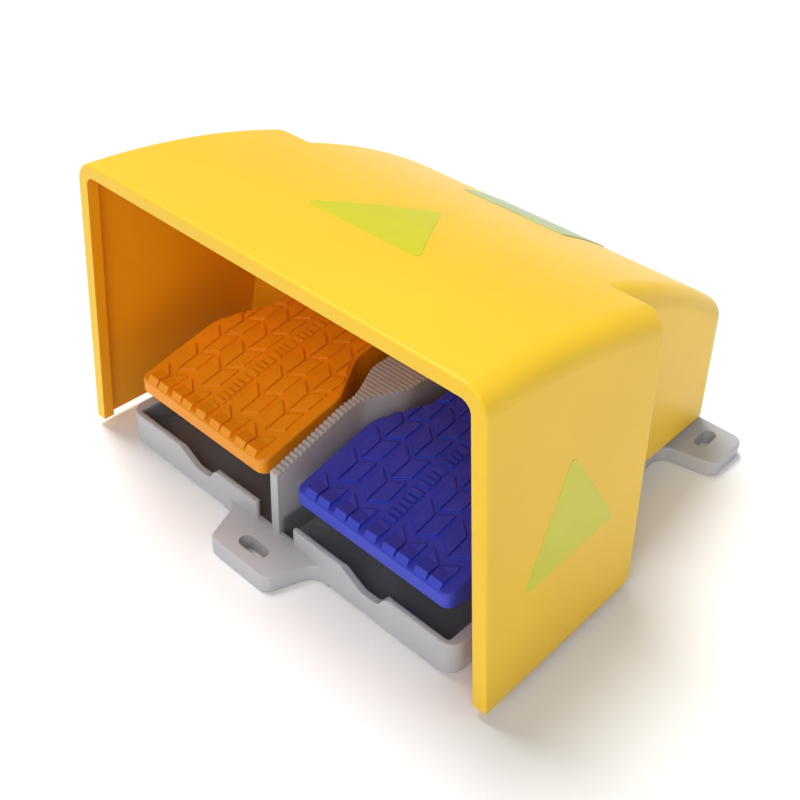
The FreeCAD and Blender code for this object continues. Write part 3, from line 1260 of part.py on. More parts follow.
switch_screws, switch_nuts, bracket_screws, terminal_screws = [], [], [], []
for side, sign in SIDES:
    middle = sign + " * pedal_centre"
    for number, word in enumerate("-+"):
        x = "%s %s switch_hole_pitch / 2" % (middle, word)
        level = switch_under + " + switch_hole_level"
        front = "(%s - switch_thick / 2)" % switch_middle
        name = "%s_%d" % (side, number)
        head = rod("switch_screw_head_" + name, "small_head", "small_head_thick",
                   (x, front + " - small_head_thick", level), ALONG_Y)
        shank = rod("switch_screw_shank_" + name, "small_screw",
                    "switch_thick + bracket_thick + small_nut_thick + 1", (x, front, level), ALONG_Y)
        switch_screws.append(joined("switch_screw_" + name, [head, shank]))
        nut = hexagon("switch_nut_form_" + name, "small_nut", "small_nut_thick",
                      (x, switch_back + " + bracket_thick", level), ALONG_Y)
        nut_bore = rod("switch_nut_bore_" + name, "small_screw + screw_fit", "small_nut_thick",
                       (x, switch_back + " + bracket_thick", level), ALONG_Y)
        switch_nuts.append(minus("switch_nut_" + name, nut, nut_bore))
        x = "%s %s %s" % (middle, word, bracket_screw_x)
        head = rod("bracket_screw_head_" + name, "small_head", "small_head_thick",
                   (x, bracket_screw_y, "bracket_pad + bracket_thick"))
        shank = rod("bracket_screw_shank_" + name, "small_screw", "bracket_pad - floor_plate + bracket_thick - 1",
                    (x, bracket_screw_y, "floor_plate + 1"))
        bracket_screws.append(joined("bracket_screw_" + name, [head, shank]))
    for number in range(3):
        x = "%s + %d * switch_length / 3" % (middle, number - 1)
        top = switch_under + " + switch_height"
        head = rod("terminal_head_%s_%d" % (side, number), "small_head", "small_head_thick",
                   (x, switch_middle, top))
        low = (x + " - small_head", switch_middle + " - land / 2", top + " + small_head_thick / 2")
        high = (x + " + small_head", switch_middle + " + land / 2", top + " + small_head_thick + 1")
        cross = block("terminal_slot_%s_%d" % (side, number), low, high)
        terminal_screws.append(minus("terminal_screw_%s_%d" % (side, number), head, cross))
group("switch_screws", switch_screws)
group("switch_nuts", switch_nuts)
group("bracket_screws", bracket_screws)
group("terminal_screws", terminal_screws)


# Return springs and rubber pads
def spring(side, sign):
    """A coil of half rings, each tilted so that it meets the next one smoothly."""
    middle = sign + " * pedal_centre"
    start = "(spring_post + soft_fit + spring_wire)"
    rise = "((%s - soft_fit - spring_wire - %s) / (2 * spring_turns))" % (spring_top, start)
    tilt = "atan(%s / (2 * spring_radius))" % rise
    halves = []
    for number in range(2 * int(size.spring_turns)):
        ring = doc.addObject("Part::Torus", "coil_%s_%d" % (side, number))
        ring.Angle3 = 180
        bind(ring, "Radius1", "spring_radius / cos(%s)" % tilt)
        bind(ring, "Radius2", "spring_wire")
        put(ring, (middle, "spring_place", "%s + %s * %.1f" % (start, rise, number + 0.5)))
        bind(ring, "Placement.Rotation.Yaw", "%d" % (180 * (number % 2)))
        bind(ring, "Placement.Rotation.Pitch", tilt)
        halves.append(ring)
    joined("return_spring_" + side, halves)


mirrored_pair(spring)

stop_pads, rest_pads = [], []
for side, sign in SIDES:
    middle = sign + " * pedal_centre"
    stop_pads.append(rod("stop_pad_" + side, "pad_radius", "pad_thick",
                         (middle, "stop_place", stop_level + " - pad_thick")))
    rest_pads.append(rod("rest_pad_" + side, "pad_radius", "pad_thick",
                         (middle, "rest_place", rest_level + " - pad_thick")))
group("stop_pads", stop_pads)
group("rest_pads", rest_pads)

# Cable gland in the back of the base
gland_face = "tub_back"
thread_start = "(tub_back - gland_boss_thick - locknut_thick - 1.5)"
nut_start = "(tub_back + gland_hex_thick)"
gland_whole = joined("gland_whole", [
    rod("gland_inner_thread", "gland_thread", "tub_back - " + thread_start,
        ("0", thread_start, "gland_height"), ALONG_Y),
    hexagon("gland_hexagon", "gland_hex", "gland_hex_thick", ("0", gland_face, "gland_height"), ALONG_Y),
    rod("gland_outer_thread", "gland_thread + 1", "gland_nut_length / 2",
        ("0", nut_start, "gland_height"), ALONG_Y),
])
seal_start = "(%s + gland_nut_length / 2 - seal_length + 1)" % nut_start
minus("gland_body", gland_whole, joined("gland_hollow", [
    rod("gland_body_passage", "gland_passage", "gland_boss * 3",
        ("0", thread_start + " - 1", "gland_height"), ALONG_Y),
    rod("gland_seal_room", "gland_thread - 1", "gland_boss", ("0", seal_start, "gland_height"), ALONG_Y),
]))
tube("gland_seal", "gland_thread - 1 - screw_fit", "gland_bore", "seal_length",
     ("0", seal_start, "gland_height"), ALONG_Y)
nut_form = hexagon("gland_nut_form", "gland_hex", "gland_nut_length", ("0", nut_start, "gland_height"), ALONG_Y)
minus("gland_nut", nut_form, joined("gland_nut_hollow", [
    rod("gland_nut_passage", "gland_passage", "gland_boss * 3",
        ("0", nut_start + " - 1", "gland_height"), ALONG_Y),
    rod("gland_nut_thread", "gland_thread + 1 + screw_fit", "gland_nut_length / 2 + 1 + screw_fit",
        ("0", nut_start, "gland_height"), ALONG_Y),
]))
locknut_form = hexagon("locknut_form", "gland_hex", "locknut_thick",
                       ("0", "tub_back - gland_boss_thick - locknut_thick", "gland_height"), ALONG_Y)
minus("gland_locknut", locknut_form,
      rod("locknut_bore", "gland_thread + screw_fit", "locknut_thick + 2",
          ("0", "tub_back - gland_boss_thick - locknut_thick - 1", "gland_height"), ALONG_Y))

joined("earth_screw", [
    rod("earth_screw_head", "small_head", "small_head_thick", ("0", "earth_place", "bracket_pad")),
    rod("earth_screw_shank", "small_screw", "bracket_pad - floor_plate - 1", ("0", "earth_place", "floor_plate + 1")),
])

NODES = ["base_casting", "hood", "hood_screws", "pivot_shaft", "shaft_clips", "pivot_spacers",
         "switch_screws", "switch_nuts", "bracket_screws", "terminal_screws", "stop_pads",
         "rest_pads", "gland_body", "gland_nut", "gland_seal", "gland_locknut", "earth_screw"]
for word in ("pedal", "pedal_arm", "pedal_screws", "pivot_bushes", "adjuster_screw", "adjuster_nut",
             "switch_body", "switch_plunger", "switch_bracket", "return_spring"):
    NODES += ["%s_%s" % (word, side) for side, sign in SIDES]

doc.recompute()
for thing in doc.Objects:
    if "Invalid" in thing.State or "Error" in thing.State:
        raise RuntimeError("%s: %s" % (thing.Label, thing.State))
for name in NODES:
    shape = doc.getObject(name).Shape
    if shape.isNull() or not shape.isValid():
        raise RuntimeError("bad shape: " + name)

os.makedirs("parts", exist_ok=True)
for name in NODES:
    doc.getObject(name).Shape.exportStep("parts/%s.step" % name)
    print(name, len(doc.getObject(name).Shape.Solids))
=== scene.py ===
"""Looks of an industrial foot switch: two treaded pedals on a cast base, under a coated guard hood.

Metres, +Z up, +Y from the hood's mouth to its back, +X to the right of a person at the pedals.
"""

import math

import bpy
import numpy as np
from bpy.props import FloatProperty, FloatVectorProperty, PointerProperty
from mathutils import Matrix, Vector


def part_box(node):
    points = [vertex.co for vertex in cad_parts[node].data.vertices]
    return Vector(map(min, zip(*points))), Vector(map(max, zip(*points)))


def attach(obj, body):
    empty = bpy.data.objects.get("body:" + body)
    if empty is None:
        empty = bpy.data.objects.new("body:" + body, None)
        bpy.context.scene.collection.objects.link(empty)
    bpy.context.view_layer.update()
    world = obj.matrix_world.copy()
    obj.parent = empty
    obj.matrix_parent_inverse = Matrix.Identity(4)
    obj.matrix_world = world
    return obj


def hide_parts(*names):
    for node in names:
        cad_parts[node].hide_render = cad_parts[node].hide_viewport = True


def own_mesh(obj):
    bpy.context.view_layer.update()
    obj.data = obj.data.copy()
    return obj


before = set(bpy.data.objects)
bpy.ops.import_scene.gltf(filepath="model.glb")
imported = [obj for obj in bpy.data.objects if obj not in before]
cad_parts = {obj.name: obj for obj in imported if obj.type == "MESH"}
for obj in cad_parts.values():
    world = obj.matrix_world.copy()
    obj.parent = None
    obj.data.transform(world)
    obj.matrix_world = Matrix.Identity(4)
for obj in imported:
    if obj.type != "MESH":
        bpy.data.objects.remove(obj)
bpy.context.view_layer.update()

bl_info = {
    "name": "Foot switch looks",
    "version": (1, 0, 0),
    "blender": (4, 5, 0),
    "location": "3D View > Sidebar > Foot switch",
    "description": "Finishes, patches, springs and studio for a guarded foot switch with two pedals",
    "category": "Object",
}

MM = 0.001
SIDES = ("left", "right")

# The picture that the camera was solved on, in pixels, and the sensor that goes with the lens, in
# millimetres
PICTURE_WIDTH = 800
SENSOR_WIDTH = 36.0

# Corners of the patches and the plate, anticlockwise from outside, as (x, y) on the roof and (y, z) on the
# side wall, and how far they reach into the hood
ROOF_PATCH = np.array([(-29.0, 54.0), (40.0, 55.3), (7.0, 108.3)]) * MM
SIDE_PATCH = np.array([(23.5, 55.0), (88.5, 57.8), (55.0, 109.6)]) * MM
ROOF_PLATE = np.array([(-31.5, 171.0), (34.5, 171.0), (34.5, 213.0), (-31.5, 213.0)]) * MM
SUNK = 0.4 * MM

# Rings of points over a patch or plate and in a turn of a spring's wire, and points in a ring of wire
SHEET_RINGS = 13
TURN_RINGS = 40
WIRE_SIDES = 14

# Lowest and highest corners of the right tray's inside, where the base gets painted shade, and of the web
# under the hood's roof, half of the hood's wall, and a point that all inner walls of the hood face. The web
# and the walls that face that point get painted bounce light and shade
SHADED_TRAY = np.array([(0.0, 11.0, -1.0), (108.0, 104.0, 16.5)]) * MM
WEB = np.array([(0.0, 100.0, 0.0), (12.0, 200.0, 170.0)]) * MM
HALF_WALL = 1.8 * MM
HOOD_CENTRE = (0.0, 80 * MM, 50 * MM)


def colour(name, description, default):
    """A colour that a user would change, in linear light."""
    return FloatVectorProperty(name=name, description=description, default=default, subtype="COLOR",
                               size=3, min=0.0, max=1.0)


def length(name, description, default):
    """A length in metres."""
    return FloatProperty(name=name, description=description, default=default, unit="LENGTH", precision=5)


def rotation(name, description, degrees):
    """An angle, given in degrees and kept in radians."""
    return FloatProperty(name=name, description=description, default=math.radians(degrees), unit="ROTATION")


def amount(name, description, default, **limits):
    """A number that isn't negative. limits may give its most."""
    return FloatProperty(name=name, description=description, default=default, min=0.0, **limits)


def way(name, description, default):
    """The way from the object to something, of any length."""
    return FloatVectorProperty(name=name, description=description, default=default, subtype="XYZ")


class FinishSettings(bpy.types.PropertyGroup):
    """Colours of the coated, cast and moulded pieces."""

    hood: colour("Hood", "Powder coat of the guard hood", (0.95, 0.60, 0.032))
    # Painted bounce light and shade: a warmer, darker copy of the coat for the hood's inner walls and web
    inside: colour("Hood inside", "The same coat on the inner walls, warmer", (0.96, 0.40, 0.008))
    base: colour("Base", "Paint of the base casting", (0.51, 0.515, 0.54))
    # Painted shade: a darker copy of the base paint for the inside of each tray, under the pedals
    tray_shade: colour("Trays", "The base's paint inside the trays, darker", (0.21, 0.215, 0.23))
    left_pedal: colour("Left pedal", "Moulded cover on the left", (0.95, 0.335, 0.004))
    right_pedal: colour("Right pedal", "Moulded cover on the right", (0.030, 0.052, 0.58))
    patch: colour("Hood patches", "Two plain triangular patches on the hood", (0.68, 0.645, 0.014))
    plate: colour("Roof plate", "Bare plate on the rear of the roof", (0.40, 0.50, 0.22))
    peel: length("Orange peel", "Size of the waves in the powder coat", 1.6 * MM)


class HoodSettings(bpy.types.PropertyGroup):
    """The hood's form where patches and a plate lie on it, and their sizes."""

    roof_front: length("Roof front", "Height of the roof at the hood's mouth", 166.4 * MM)
    roof_back: length("Roof back", "Height of the roof curve at its back end", 87.5 * MM)
    roof_reach: length("Roof reach", "Distance of that back end behind the mouth", 232.0 * MM)
    roof_round: length("Roof radius", "Radius of the roof curve seen from the side", 405.0 * MM)
    side_foot: length("Side wall", "Half width of the hood at the foot of its side walls", 139.0 * MM)
    side_gap: length("Side gap", "Height of that foot", 5.5 * MM)
    side_lean: rotation("Side lean", "Inward lean of the side walls", 6.4)
    film: length("Film", "How far the patches stand proud", 0.16 * MM)
    film_corner: length("Patch corners", "Radius of the patches' corners", 2.6 * MM)
    plate_thick: length("Plate", "Thickness of the roof plate", 0.5 * MM)
    plate_corner: length("Plate corners", "Radius of the plate's corners", 2.0 * MM)


class SpringSettings(bpy.types.PropertyGroup):
    """The return springs under the pedals, as wound wire with closed ends."""

    wire: length("Wire", "Radius of the wire", 1.0 * MM)
    radius: length("Coil", "Radius of the coil to the middle of the wire", 8.0 * MM)
    turns: amount("Turns", "Turns of the wire, closed ends included", 6.0)
    pitch: length("End pitch", "Rise of the closed turns", 2.1 * MM)
    keep: amount("Pressed", "Share of its length that it keeps when its pedal is down", 0.865, max=1.0)


class StageSettings(bpy.types.PropertyGroup):
    """Camera and light."""

    eye: FloatVectorProperty(name="Camera place", description="Where the camera stands", precision=5,
                             default=(0.29295, -0.24105, 0.39680), subtype="XYZ", unit="LENGTH")
    turn: rotation("Camera turn", "Turn of the view about the vertical", 40.936)
    down: rotation("Camera tilt", "How far the view looks down", 37.486)
    roll: rotation("Camera roll", "Lean of the camera about its view", 3.231)
    lens: amount("Lens", "Focal length in millimetres on a sensor 36 mm wide", 49.563)
    shift: FloatVectorProperty(name="Picture shift", description="Shift of the picture, in its own pixels",
                               default=(-5.0, -19.15), subtype="XYZ", size=2)
    key: amount("Key light", "Strength of the main light", 2.5)
    key_soft: rotation("Key size", "Angle that the main light fills", 24.0)
    key_from: way("Key place", "The way to the main light", (-0.42, 0.10, 1.0))
    fill: amount("Fill light", "Strength of the light from the front", 1.2)
    fill_soft: rotation("Fill size", "Angle that the light from the front fills", 50.0)
    fill_from: way("Fill place", "The way to the light from the front", (0.44, -1.0, 0.80))
    sky: amount("Surroundings", "Strength of the even light around", 0.27)


# Materials
class Nodes:
    """A material's node tree, with short ways to add and join nodes."""

    # Places of the Mix node's sockets for its factor and two colours, and for the colour that comes out
    MIX_IN = (0, 6, 7)
    MIX_OUT = 2

    def __init__(self, name):
        self.material = bpy.data.materials.new(name)
        self.material.use_nodes = True
        self.tree = self.material.node_tree
        self.shader = self.tree.nodes["Principled BSDF"]
        self.place = self.add("ShaderNodeTexCoord").outputs["Object"]

    def add(self, kind, **values):
        """A new node. values are its inputs or its own settings, by name."""
        node = self.tree.nodes.new(kind)
        for word, value in values.items():
            if word in node.inputs:
                node.inputs[word].default_value = value
            else:
                setattr(node, word, value)
        return node

    def join(self, start, end):
        """A link from one socket to another."""
        self.tree.links.new(start, end)

    def set(self, **values):
        """Constants on the shader's own sockets."""
        for word, value in values.items():
            self.shader.inputs[word.replace("_", " ")].default_value = value

    def noise(self, size, detail=3.0, roughness=0.5, stretch=None):
        """Noise whose features measure about size, in metres. stretch gives a factor per axis."""
        node = self.add("ShaderNodeTexNoise", Detail=detail, Roughness=roughness)
        node.inputs["Scale"].default_value = 1.0 / size
        place = self.place
        if stretch:
            mapping = self.add("ShaderNodeMapping")
            mapping.inputs["Scale"].default_value = stretch
            self.join(place, mapping.inputs["Vector"])
            place = mapping.outputs["Vector"]
        self.join(place, node.inputs["Vector"])
        return node.outputs["Fac"]

    def ramp(self, source, stops):
        """A colour ramp. stops are its two ends, each as (place, grey or colour)."""
        node = self.add("ShaderNodeValToRGB")
        for element, (place, value) in zip(node.color_ramp.elements, stops):
            element.position = place
            element.color = shade(value)
        self.join(source, node.inputs["Fac"])
        return node.outputs["Color"]

    def mottle(self, source, tint, dark, light, ends=(0.3, 0.7)):
        """A tint that goes from one share of itself to another where the source goes from end to end."""
        return self.ramp(source, [(ends[0], darker(tint, dark)), (ends[1], darker(tint, light))])

    def blend(self, factor, first, second):
        """The first colour where the factor is 0, the second where it is 1, and a blend between."""
        node = self.add("ShaderNodeMix", data_type="RGBA", blend_type="MIX")
        for place, source in zip(self.MIX_IN, (factor, first, second)):
            self.join(source, node.inputs[place])
        return node.outputs[self.MIX_OUT]

    def span(self, source, low, high):
        """A source from 0 to 1 spread between two numbers."""
        node = self.add("ShaderNodeMapRange")
        node.inputs["To Min"].default_value = low
        node.inputs["To Max"].default_value = high
        self.join(source, node.inputs["Value"])
        return node.outputs["Result"]

    def calc(self, operation, *values):
        """One Math node. values are numbers or sockets."""
        node = self.add("ShaderNodeMath", operation=operation)
        for socket, value in zip(node.inputs, values):
            if isinstance(value, bpy.types.NodeSocket):
                self.join(value, socket)
            else:
                socket.default_value = value
        return node.outputs[0]

    def facing(self, centre):
        """0 on faces that look away from a point inside a shell, 1 on those that look towards it."""
        reach = self.add("ShaderNodeVectorMath", operation="SUBTRACT")
        reach.inputs[1].default_value = centre
        self.join(self.place, reach.inputs[0])
        along = self.add("ShaderNodeVectorMath", operation="DOT_PRODUCT")
        self.join(reach.outputs["Vector"], along.inputs[0])
        self.join(self.add("ShaderNodeNewGeometry").outputs["True Normal"], along.inputs[1])
        return self.calc("LESS_THAN", along.outputs["Value"], 0.0)

    def near_line(self, middle, radius):
        """1 closer to a line along X through middle (y, z) than a radius, else 0."""
        reach = self.add("ShaderNodeVectorMath", operation="SUBTRACT")
        reach.inputs[1].default_value = (0.0, *middle)
        self.join(self.place, reach.inputs[0])
        across = self.add("ShaderNodeVectorMath", operation="MULTIPLY")
        across.inputs[1].default_value = (0.0, 1.0, 1.0)
        self.join(reach.outputs["Vector"], across.inputs[0])
        far = self.add("ShaderNodeVectorMath", operation="LENGTH")
        self.join(across.outputs["Vector"], far.inputs[0])
        return self.calc("LESS_THAN", far.outputs["Value"], radius)

    def inside_box(self, low, high, fade):
        """1 inside a box and its mirror image across x = 0, falling to 0 over a margin around them."""
        parts = self.add("ShaderNodeSeparateXYZ")
        self.join(self.place, parts.inputs[0])
        side = self.calc("ABSOLUTE", parts.outputs[0])
        product = None
        for value, start, end in zip((side, parts.outputs[1], parts.outputs[2]), low, high):
            for edge, outwards in ((start, -1.0), (end, 1.0)):
                step = self.add("ShaderNodeMapRange")
                step.inputs["From Min"].default_value = edge + outwards * fade
                step.inputs["From Max"].default_value = edge
                self.join(value, step.inputs["Value"])
                inside = step.outputs["Result"]
                product = inside if product is None else self.calc("MULTIPLY", product, inside)
        return product

    def soft_edge(self, radius):
        """The surface's own normal, with its sharp edges turned over that radius."""
        node = self.add("ShaderNodeBevel", samples=6)
        node.inputs["Radius"].default_value = radius
        return node.outputs["Normal"]

    def bump(self, height, depth, strength, under=None):
        """A bump of that depth in metres, on top of the one under it."""
        node = self.add("ShaderNodeBump")
        node.inputs["Strength"].default_value = strength
        node.inputs["Distance"].default_value = depth
        self.join(height, node.inputs["Height"])
        if under is not None:
            self.join(under, node.inputs["Normal"])
        return node.outputs["Normal"]

    def finish(self, base=None, roughness=None, normal=None):
        """The material, with these sockets joined to its shader."""
        for word, source in (("Base Color", base), ("Roughness", roughness), ("Normal", normal)):
            if source is not None:
                self.join(source, self.shader.inputs[word])
        return self.material


def shade(value):
    """A grey number or a colour as four numbers."""
    if isinstance(value, (int, float)):
        return (value, value, value, 1.0)
    return (*value[:3], 1.0)


def darker(value, share):
    """That share of a colour."""
    return tuple(part * share for part in value)


def coated(name, tint, inside, peel, hood):
    """Powder coat: orange peel waves, fine grain, a faint change of tone, and painted bounce light inside.

    The inside gets a warmer, darker copy of the coat, which is painted bounce light and shade. The inside
    is what faces the hood's centre, and the web: what lies near the middle and nearer to the roof curve's
    centre than the roof does.
    """
    made = Nodes(name)
    tone = made.noise(60 * MM, detail=4.0)
    outer = made.mottle(tone, tint, 0.97, 1.02)
    # inner is painted bounce light and shade: the warmer, darker copy of the coat for the hood's inside
    inner = made.mottle(tone, inside, 0.94, 1.02)
    under_roof = made.near_line(roof_middle(hood), hood.roof_round - HALF_WALL)
    painted_bounce_on_web = made.calc("MULTIPLY", made.inside_box(*WEB, fade=MM), under_roof)
    base = made.blend(made.facing(HOOD_CENTRE), made.blend(painted_bounce_on_web, outer, inner), inner)
    waves = made.noise(peel, detail=2.0, roughness=0.35)
    grain = made.noise(0.28 * MM, detail=2.0)
    bump = made.bump(waves, depth=0.065 * MM, strength=0.44, under=made.soft_edge(0.5 * MM))
    bump = made.bump(grain, depth=0.020 * MM, strength=0.40, under=bump)
    made.set(Specular_IOR_Level=0.27)
    gloss = made.span(made.noise(9 * MM), 0.32, 0.41)
    return made.finish(base, gloss, bump)


def cast_paint(name, tint, tray_shade):
    """Satin paint over a casting: a little sand texture and cloudy tone, and painted shade inside each
    tray.
    """
    made = Nodes(name)
    tone = made.noise(45 * MM, detail=5.0, roughness=0.6)
    open_paint = made.mottle(tone, tint, 0.93, 1.03, ends=(0.28, 0.72))
    # Painted shade: each tray under the pedals gets a darker copy of the paint
    painted_tray_shade = made.mottle(tone, tray_shade, 0.85, 1.10, ends=(0.28, 0.72))
    base = made.blend(made.inside_box(*SHADED_TRAY, fade=3 * MM), open_paint, painted_tray_shade)
    sand = made.noise(0.55 * MM, detail=4.0, roughness=0.6)
    waves = made.noise(3.2 * MM, detail=2.0)
    bump = made.bump(waves, depth=0.05 * MM, strength=0.35, under=made.soft_edge(0.6 * MM))
    bump = made.bump(sand, depth=0.03 * MM, strength=0.40, under=bump)
    gloss = made.span(made.noise(6 * MM), 0.32, 0.44)
    return made.finish(base, gloss, bump)


def moulded(name, tint):
    """Matt moulded plastic with a spark-eroded grain."""
    made = Nodes(name)
    base = made.mottle(made.noise(20 * MM), tint, 0.95, 1.02)
    grain = made.noise(0.35 * MM, roughness=0.6)
    bump = made.bump(grain, depth=0.02 * MM, strength=0.45, under=made.soft_edge(0.4 * MM))
    gloss = made.span(made.noise(4 * MM), 0.42, 0.52)
    return made.finish(base, gloss, bump)


def metal(name, tint, roughness, stretch=None):
    """Bare or plated metal with fine directional scratches."""
    made = Nodes(name)
    lines = made.noise(0.25 * MM, detail=4.0, roughness=0.65, stretch=stretch)
    base = made.mottle(made.noise(7 * MM), tint, 0.90, 1.0)
    bump = made.bump(lines, depth=0.008 * MM, strength=0.35)
    made.set(Metallic=1.0)
    gloss = made.span(lines, roughness - 0.06, roughness + 0.10)
    return made.finish(base, gloss, bump)


def rubber(name, tint):
    """Dull rubber with a fine skin."""
    made = Nodes(name)
    base = made.mottle(made.noise(6 * MM, detail=4.0), tint, 0.8, 1.25)
    bump = made.bump(made.noise(0.5 * MM, detail=4.0), depth=0.03 * MM, strength=0.5)
    gloss = made.span(made.noise(3 * MM), 0.62, 0.80)
    return made.finish(base, gloss, bump)


def film(name, tint):
    """Plain self-adhesive film: even colour, a faint mottle and a smooth skin."""
    made = Nodes(name)
    base = made.mottle(made.noise(14 * MM), tint, 0.985, 1.01)
    bump = made.bump(made.noise(1.3 * MM, detail=2.0), depth=0.02 * MM, strength=0.25)
    made.set(Specular_IOR_Level=0.45)
    gloss = made.span(made.noise(11 * MM), 0.30, 0.40)
    return made.finish(base, gloss, bump)


# Surfaces of the new pieces
def outline(corners, radius, steps=7):
    """A polygon's outline with round corners, as (points, 2), for corners in anticlockwise order.

    Each corner is an arc about the point that lies radius inside both of its sides:
    point = middle + radius * (cos a, sin a), a from the first side's outward angle to the second's.
    """
    corners = np.asarray(corners, float)
    sides = np.roll(corners, -1, axis=0) - corners
    away = np.stack([sides[:, 1], -sides[:, 0]], axis=1) / np.linalg.norm(sides, axis=1, keepdims=True)
    before = np.roll(away, 1, axis=0)
    lines = np.stack([before, away], axis=1)
    reach = np.einsum("kij,kj->ki", lines, corners) - radius
    middles = np.linalg.solve(lines, reach[..., None])[..., 0]
    start = np.arctan2(before[:, 1], before[:, 0])
    turn = np.mod(np.arctan2(away[:, 1], away[:, 0]) - start, 2 * np.pi)
    angle = start[:, None] + turn[:, None] * np.linspace(0.0, 1.0, steps)
    ring = radius * np.stack([np.cos(angle), np.sin(angle)], axis=-1)
    return (middles[:, None, :] + ring).reshape(-1, 2)


def between(points, gap):
    """The same closed outline with more points, none much farther apart than gap.

    Points that lie less than a ten-thousandth of a millimetre apart become one.
    """
    points = np.vstack([points, points[:1]])
    along = np.concatenate([[0.0], np.cumsum(np.linalg.norm(np.diff(points, axis=0), axis=1))])
    extra = np.arange(0.0, along[-1], gap)
    places = np.unique(np.concatenate([along[:-1], extra]).round(7))
    return np.stack([np.interp(places, along, points[:, axis]) for axis in (0, 1)], axis=1)


def roof_middle(hood):
    """The middle (y, z) of the roof curve, which is a circle through the roof's front and back ends."""
    front, back = np.array([0.0, hood.roof_front]), np.array([hood.roof_reach, hood.roof_back])
    chord = back - front
    half = np.linalg.norm(chord) / 2
    down = np.array([chord[1], -chord[0]]) / (2 * half)
    return (front + back) / 2 + down * math.sqrt(hood.roof_round ** 2 - half ** 2)


def roof_point(x, y, lift, hood):
    """Points on the roof, lift above it.

    Seen from the side the roof has the radius R: z = middle z + root(R^2 - (y - middle y)^2), moved
    out along the radius by lift.
    """
    middle = roof_middle(hood)
    z = middle[1] + np.sqrt(hood.roof_round ** 2 - (y - middle[0]) ** 2)
    share = lift / hood.roof_round
    return np.stack([x, y + (y - middle[0]) * share, z + (z - middle[1]) * share], axis=-1)


def side_point(y, z, lift, hood):
    """Points on the right side wall, lift above it: x = foot - (z - gap) * tan(lean)."""
    x = hood.side_foot - (z - hood.side_gap) * math.tan(hood.side_lean)
    return np.stack([x + lift * math.cos(hood.side_lean), y, z + lift * math.sin(hood.side_lean)], axis=-1)


def thin_sheet(name, edge, lift, surface, hood):
    """A thin closed sheet on a surface of the hood.

    edge is its outline in the surface's own two directions. Rings of it, share * (edge - middle) + middle,
    run out over the top at the height lift, round its rim, and back underneath, a little sunk.
    surface(first, second, height, hood) turns them into points.
    """
    middle = edge.mean(axis=0)
    top = np.linspace(0.0, 1.0, SHEET_RINGS)
    under = top[::-2]
    chamfer = 0.35 * lift
    shares = np.concatenate([top, [1.0, 1.0], under])
    inward = np.zeros(len(shares))
    inward[len(top) - 1] = chamfer
    heights = np.concatenate([np.full(len(top), lift), [lift - chamfer, 0.0], np.full(len(under), -SUNK)])
    flat = middle + shares[:, None, None] * (edge - middle)
    outward = (edge - middle) / np.linalg.norm(edge - middle, axis=1, keepdims=True)
    flat = flat - inward[:, None, None] * outward
    rings = surface(flat[..., 0], flat[..., 1], heights[:, None] + np.zeros(len(edge)), hood)
    return closed_rings(name, rings, False)


def closed_rings(name, rings, smooth):
    """A closed piece through rings of points. Its first and last ring are single points."""
    count, around = rings.shape[:2]
    points = np.vstack([rings[0, :1], rings[1:-1].reshape(-1, 3), rings[-1, :1]])
    index = 1 + np.arange((count - 2) * around).reshape(count - 2, around)
    beside = np.roll(index, -1, axis=1)
    quads = np.stack([index[:-1], index[1:], beside[1:], beside[:-1]], axis=-1).reshape(-1, 4)
    first = np.stack([np.zeros(around, int), index[0], beside[0]], axis=-1)
    last = np.stack([np.full(around, len(points) - 1), beside[-1], index[-1]], axis=-1)
    mesh = bpy.data.meshes.new(name)
    mesh.from_pydata(points.tolist(), [], quads.tolist() + first.tolist() + last.tolist())
    mesh.polygons.foreach_set("use_smooth", np.full(len(mesh.polygons), smooth))
    piece = bpy.data.objects.new(name, mesh)
    bpy.context.scene.collection.objects.link(piece)
    return piece


def coil(name, foot, height, settings):
    """A wound spring that stands on foot.

    At the turn t its wire is at foot + (radius cos 2 pi t, radius sin 2 pi t, z(t)), and z rises by the end
    pitch in the closed turns and faster between them, so that the wire ends at the height. The pitch
    changes over a quarter turn. Rings of wire (cos a, sin a) stand across it, where a runs round from
    the coil's outside upwards.
    """
    turn = np.linspace(0.0, settings.turns, int(settings.turns * TURN_RINGS) + 1)
    ease = 0.25
    first, last = (np.clip(past / ease, 0.0, 1.0) for past in (turn - 1.0, settings.turns - 1.0 - turn))
    opened = first * last
    rise = np.concatenate([[0.0], np.cumsum((opened[1:] + opened[:-1]) / 2 * np.diff(turn))])
    spare = height - 2 * settings.wire - settings.pitch * settings.turns
    level = settings.wire + settings.pitch * turn + spare * rise / rise[-1]
    angle = 2 * math.pi * turn
    middle = np.stack([settings.radius * np.cos(angle), settings.radius * np.sin(angle), level], axis=-1)
    along = np.gradient(middle, axis=0)
    along /= np.linalg.norm(along, axis=1, keepdims=True)
    outward = np.stack([np.cos(angle), np.sin(angle), np.zeros_like(angle)], axis=-1)
    upward = np.cross(outward, along)
    phase = np.linspace(0.0, 2 * math.pi, WIRE_SIDES, endpoint=False)[None, :, None]
    round_wire = np.cos(phase) * outward[:, None] + np.sin(phase) * upward[:, None]
    rings = middle[:, None] + settings.wire * round_wire
    start, end = (np.broadcast_to(tip, (1, *rings.shape[1:])) for tip in (middle[0], middle[-1]))
    return closed_rings(name, np.concatenate([start, rings, end]) + foot, True)


def dress(material, *names):
    """Give CAD nodes one material over all their faces."""
    for name in names:
        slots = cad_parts[name].data.materials
        slots.clear()
        slots.append(material)


def both(*words):
    """Node names of the left and the right one."""
    return ["%s_%s" % (word, side) for word in words for side in SIDES]


# Operators
class Step(bpy.types.Operator):
    """What the steps share."""

    bl_options = {"REGISTER", "UNDO"}


